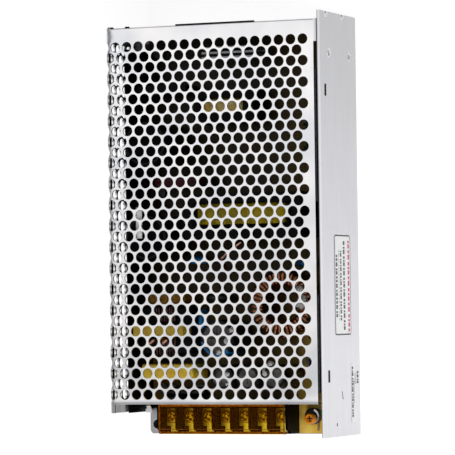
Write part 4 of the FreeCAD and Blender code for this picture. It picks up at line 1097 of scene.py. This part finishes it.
def wall_openings():
    """Painted highlights, nearly white, in the insides and on the rims of the wall's openings, and painted
    shadow in its slots.
    """
    low, high = extent("chassis")
    rear, front = high[1], low[1]
    face, proud = WALL_FACE - 0.02, WALL_FACE + 0.05
    for i, z in enumerate(NOTCH_HEIGHTS, 1):
        half_ring(f"notch_rim_{i}", rear, z, 1.2, 1.08, 53.6, WALL_FACE)
    profile = [(1.25, 54.0), (1.95, 54.0), (1.95, face), (2.45, face), (2.45, proud), (1.5, proud),
               (1.25, 54.8), (1.25, 54.0)]
    for i, z in enumerate(HOLE_HEIGHTS, 1):
        collar = turned(f"hole_collar_{i}", profile, (0, rear - 19.3, z), rim_painted_highlight, 28, axis="X")
        show(collar)
    for i, z in enumerate(NOTCH_HEIGHTS, 1):
        half_ring(f"notch_collar_{i}", rear, z, 3.0, 1.2, face, proud)
    # Black patches over the hook slots, wider than the slots: painted shadow.
    for i, y in enumerate((rear - 36.9, front + 28.5), 1):
        low, high = (54.2, y - 2.9, 42.2), (WALL_FACE + 0.03, y + 2.9, 45.0)
        show(block(f"hook_end_{i}", low, high, 0.2, black_film))


wall_openings()


# Small things under the cover and at its edges

def inner_wires():
    """The transformer's thick copper lead, the choke's bent ends as painted glints, and the tie under the
    cover's left side.
    """
    lead = [(-9.4, -19.0, 11.0), (-8.6, -17.6, 19.0), (-6.0, -14.6, 25.0), (-1.0, -10.6, 26.0),
            (3.6, -7.4, 25.4), (5.4, -6.6, 21.0), (5.6, -6.6, 12.0)]
    show(tube("copper_lead", lead, 2.0, bare_copper_and_glint, sides=12))
    # Two short bent ends of bare copper over the choke's winding, where it glints: painted highlights.
    ends = ((-43.1, -54.9), (-41.3, -53.7)), ((-36.3, -55.0), (-34.5, -53.7))
    for i, (start, end) in enumerate(ends, 1):
        bent = [(*start, 26.2), (*start, 27.4), (*end, 27.6), (*end, 26.4)]
        show(tube(f"choke_end_{i}", bent, 1.3, bare_copper_and_glint, sides=10))
    tie = block("white_tie", (-40.2, -5.0, 48.5), (-37.0, 9.8, 49.1), 0.25, label_paper, 2)
    show(tie)


def edge_pieces():
    """The leaning white pad, the edge of the black film that shows in front of the cover, and a painted
    shadow line behind its rear edge.
    """
    leaning = [(-88.9, 10.4), (-88.6, 10.2), (-85.2, 13.2), (-85.5, 13.5)]
    show(drawn("white_pad", leaning, -53.3, -49.8, label_paper, axis="X"))
    film = block("film_front_edge", (-52.3, -88.4, 14.0), (-51.95, -86.8, 33.4), 0.05, black_film)
    show(film)
    # Black strips just behind the cover's rear edge: a painted shadow line.
    for i, (left, right) in enumerate(((-53.4, -50.6), (-44.4, -42.2), (-18.2, 22.0)), 1):
        film = block(f"film_rear_edge_{i}", (left, 95.6, 49.2), (right, 96.1, 49.9), 0.05, black_film)
        show(film)


edge_pieces()
inner_wires()


# CAD nodes that keep their own shape

KEPT = {
    "chassis": rolled_aluminium, "cover_screws": zinc_plate, "insulation_sheet": black_film, "pcb": laminate,
    "pcb_standoffs": zinc_painted_shade, "pcb_screws": zinc_painted_shade, "terminal_block": black_moulding,
    "terminal_plates": brass_painted_highlight, "transformer_core": ferrite, "transformer_bobbin": black_moulding,
    "line_choke_core": ferrite, "line_choke_bobbin": yellow_box, "toroid_core": painted_core,
    "drive_transformer_core": ferrite, "fuse": fuse_body, "fuse_clips": zinc_painted_shade,
    "bridge_rectifier": black_epoxy, "rectifier_heatsink": extruded_aluminium,
    "heatsink_primary": sink_painted_shade, "heatsink_secondary": sink_painted_shade,
    "power_devices": black_epoxy, "device_screws": zinc_painted_shade,
}
for node_name, finish in KEPT.items():
    materials = cad_nodes[node_name].data.materials
    materials.clear()
    materials.append(finish)
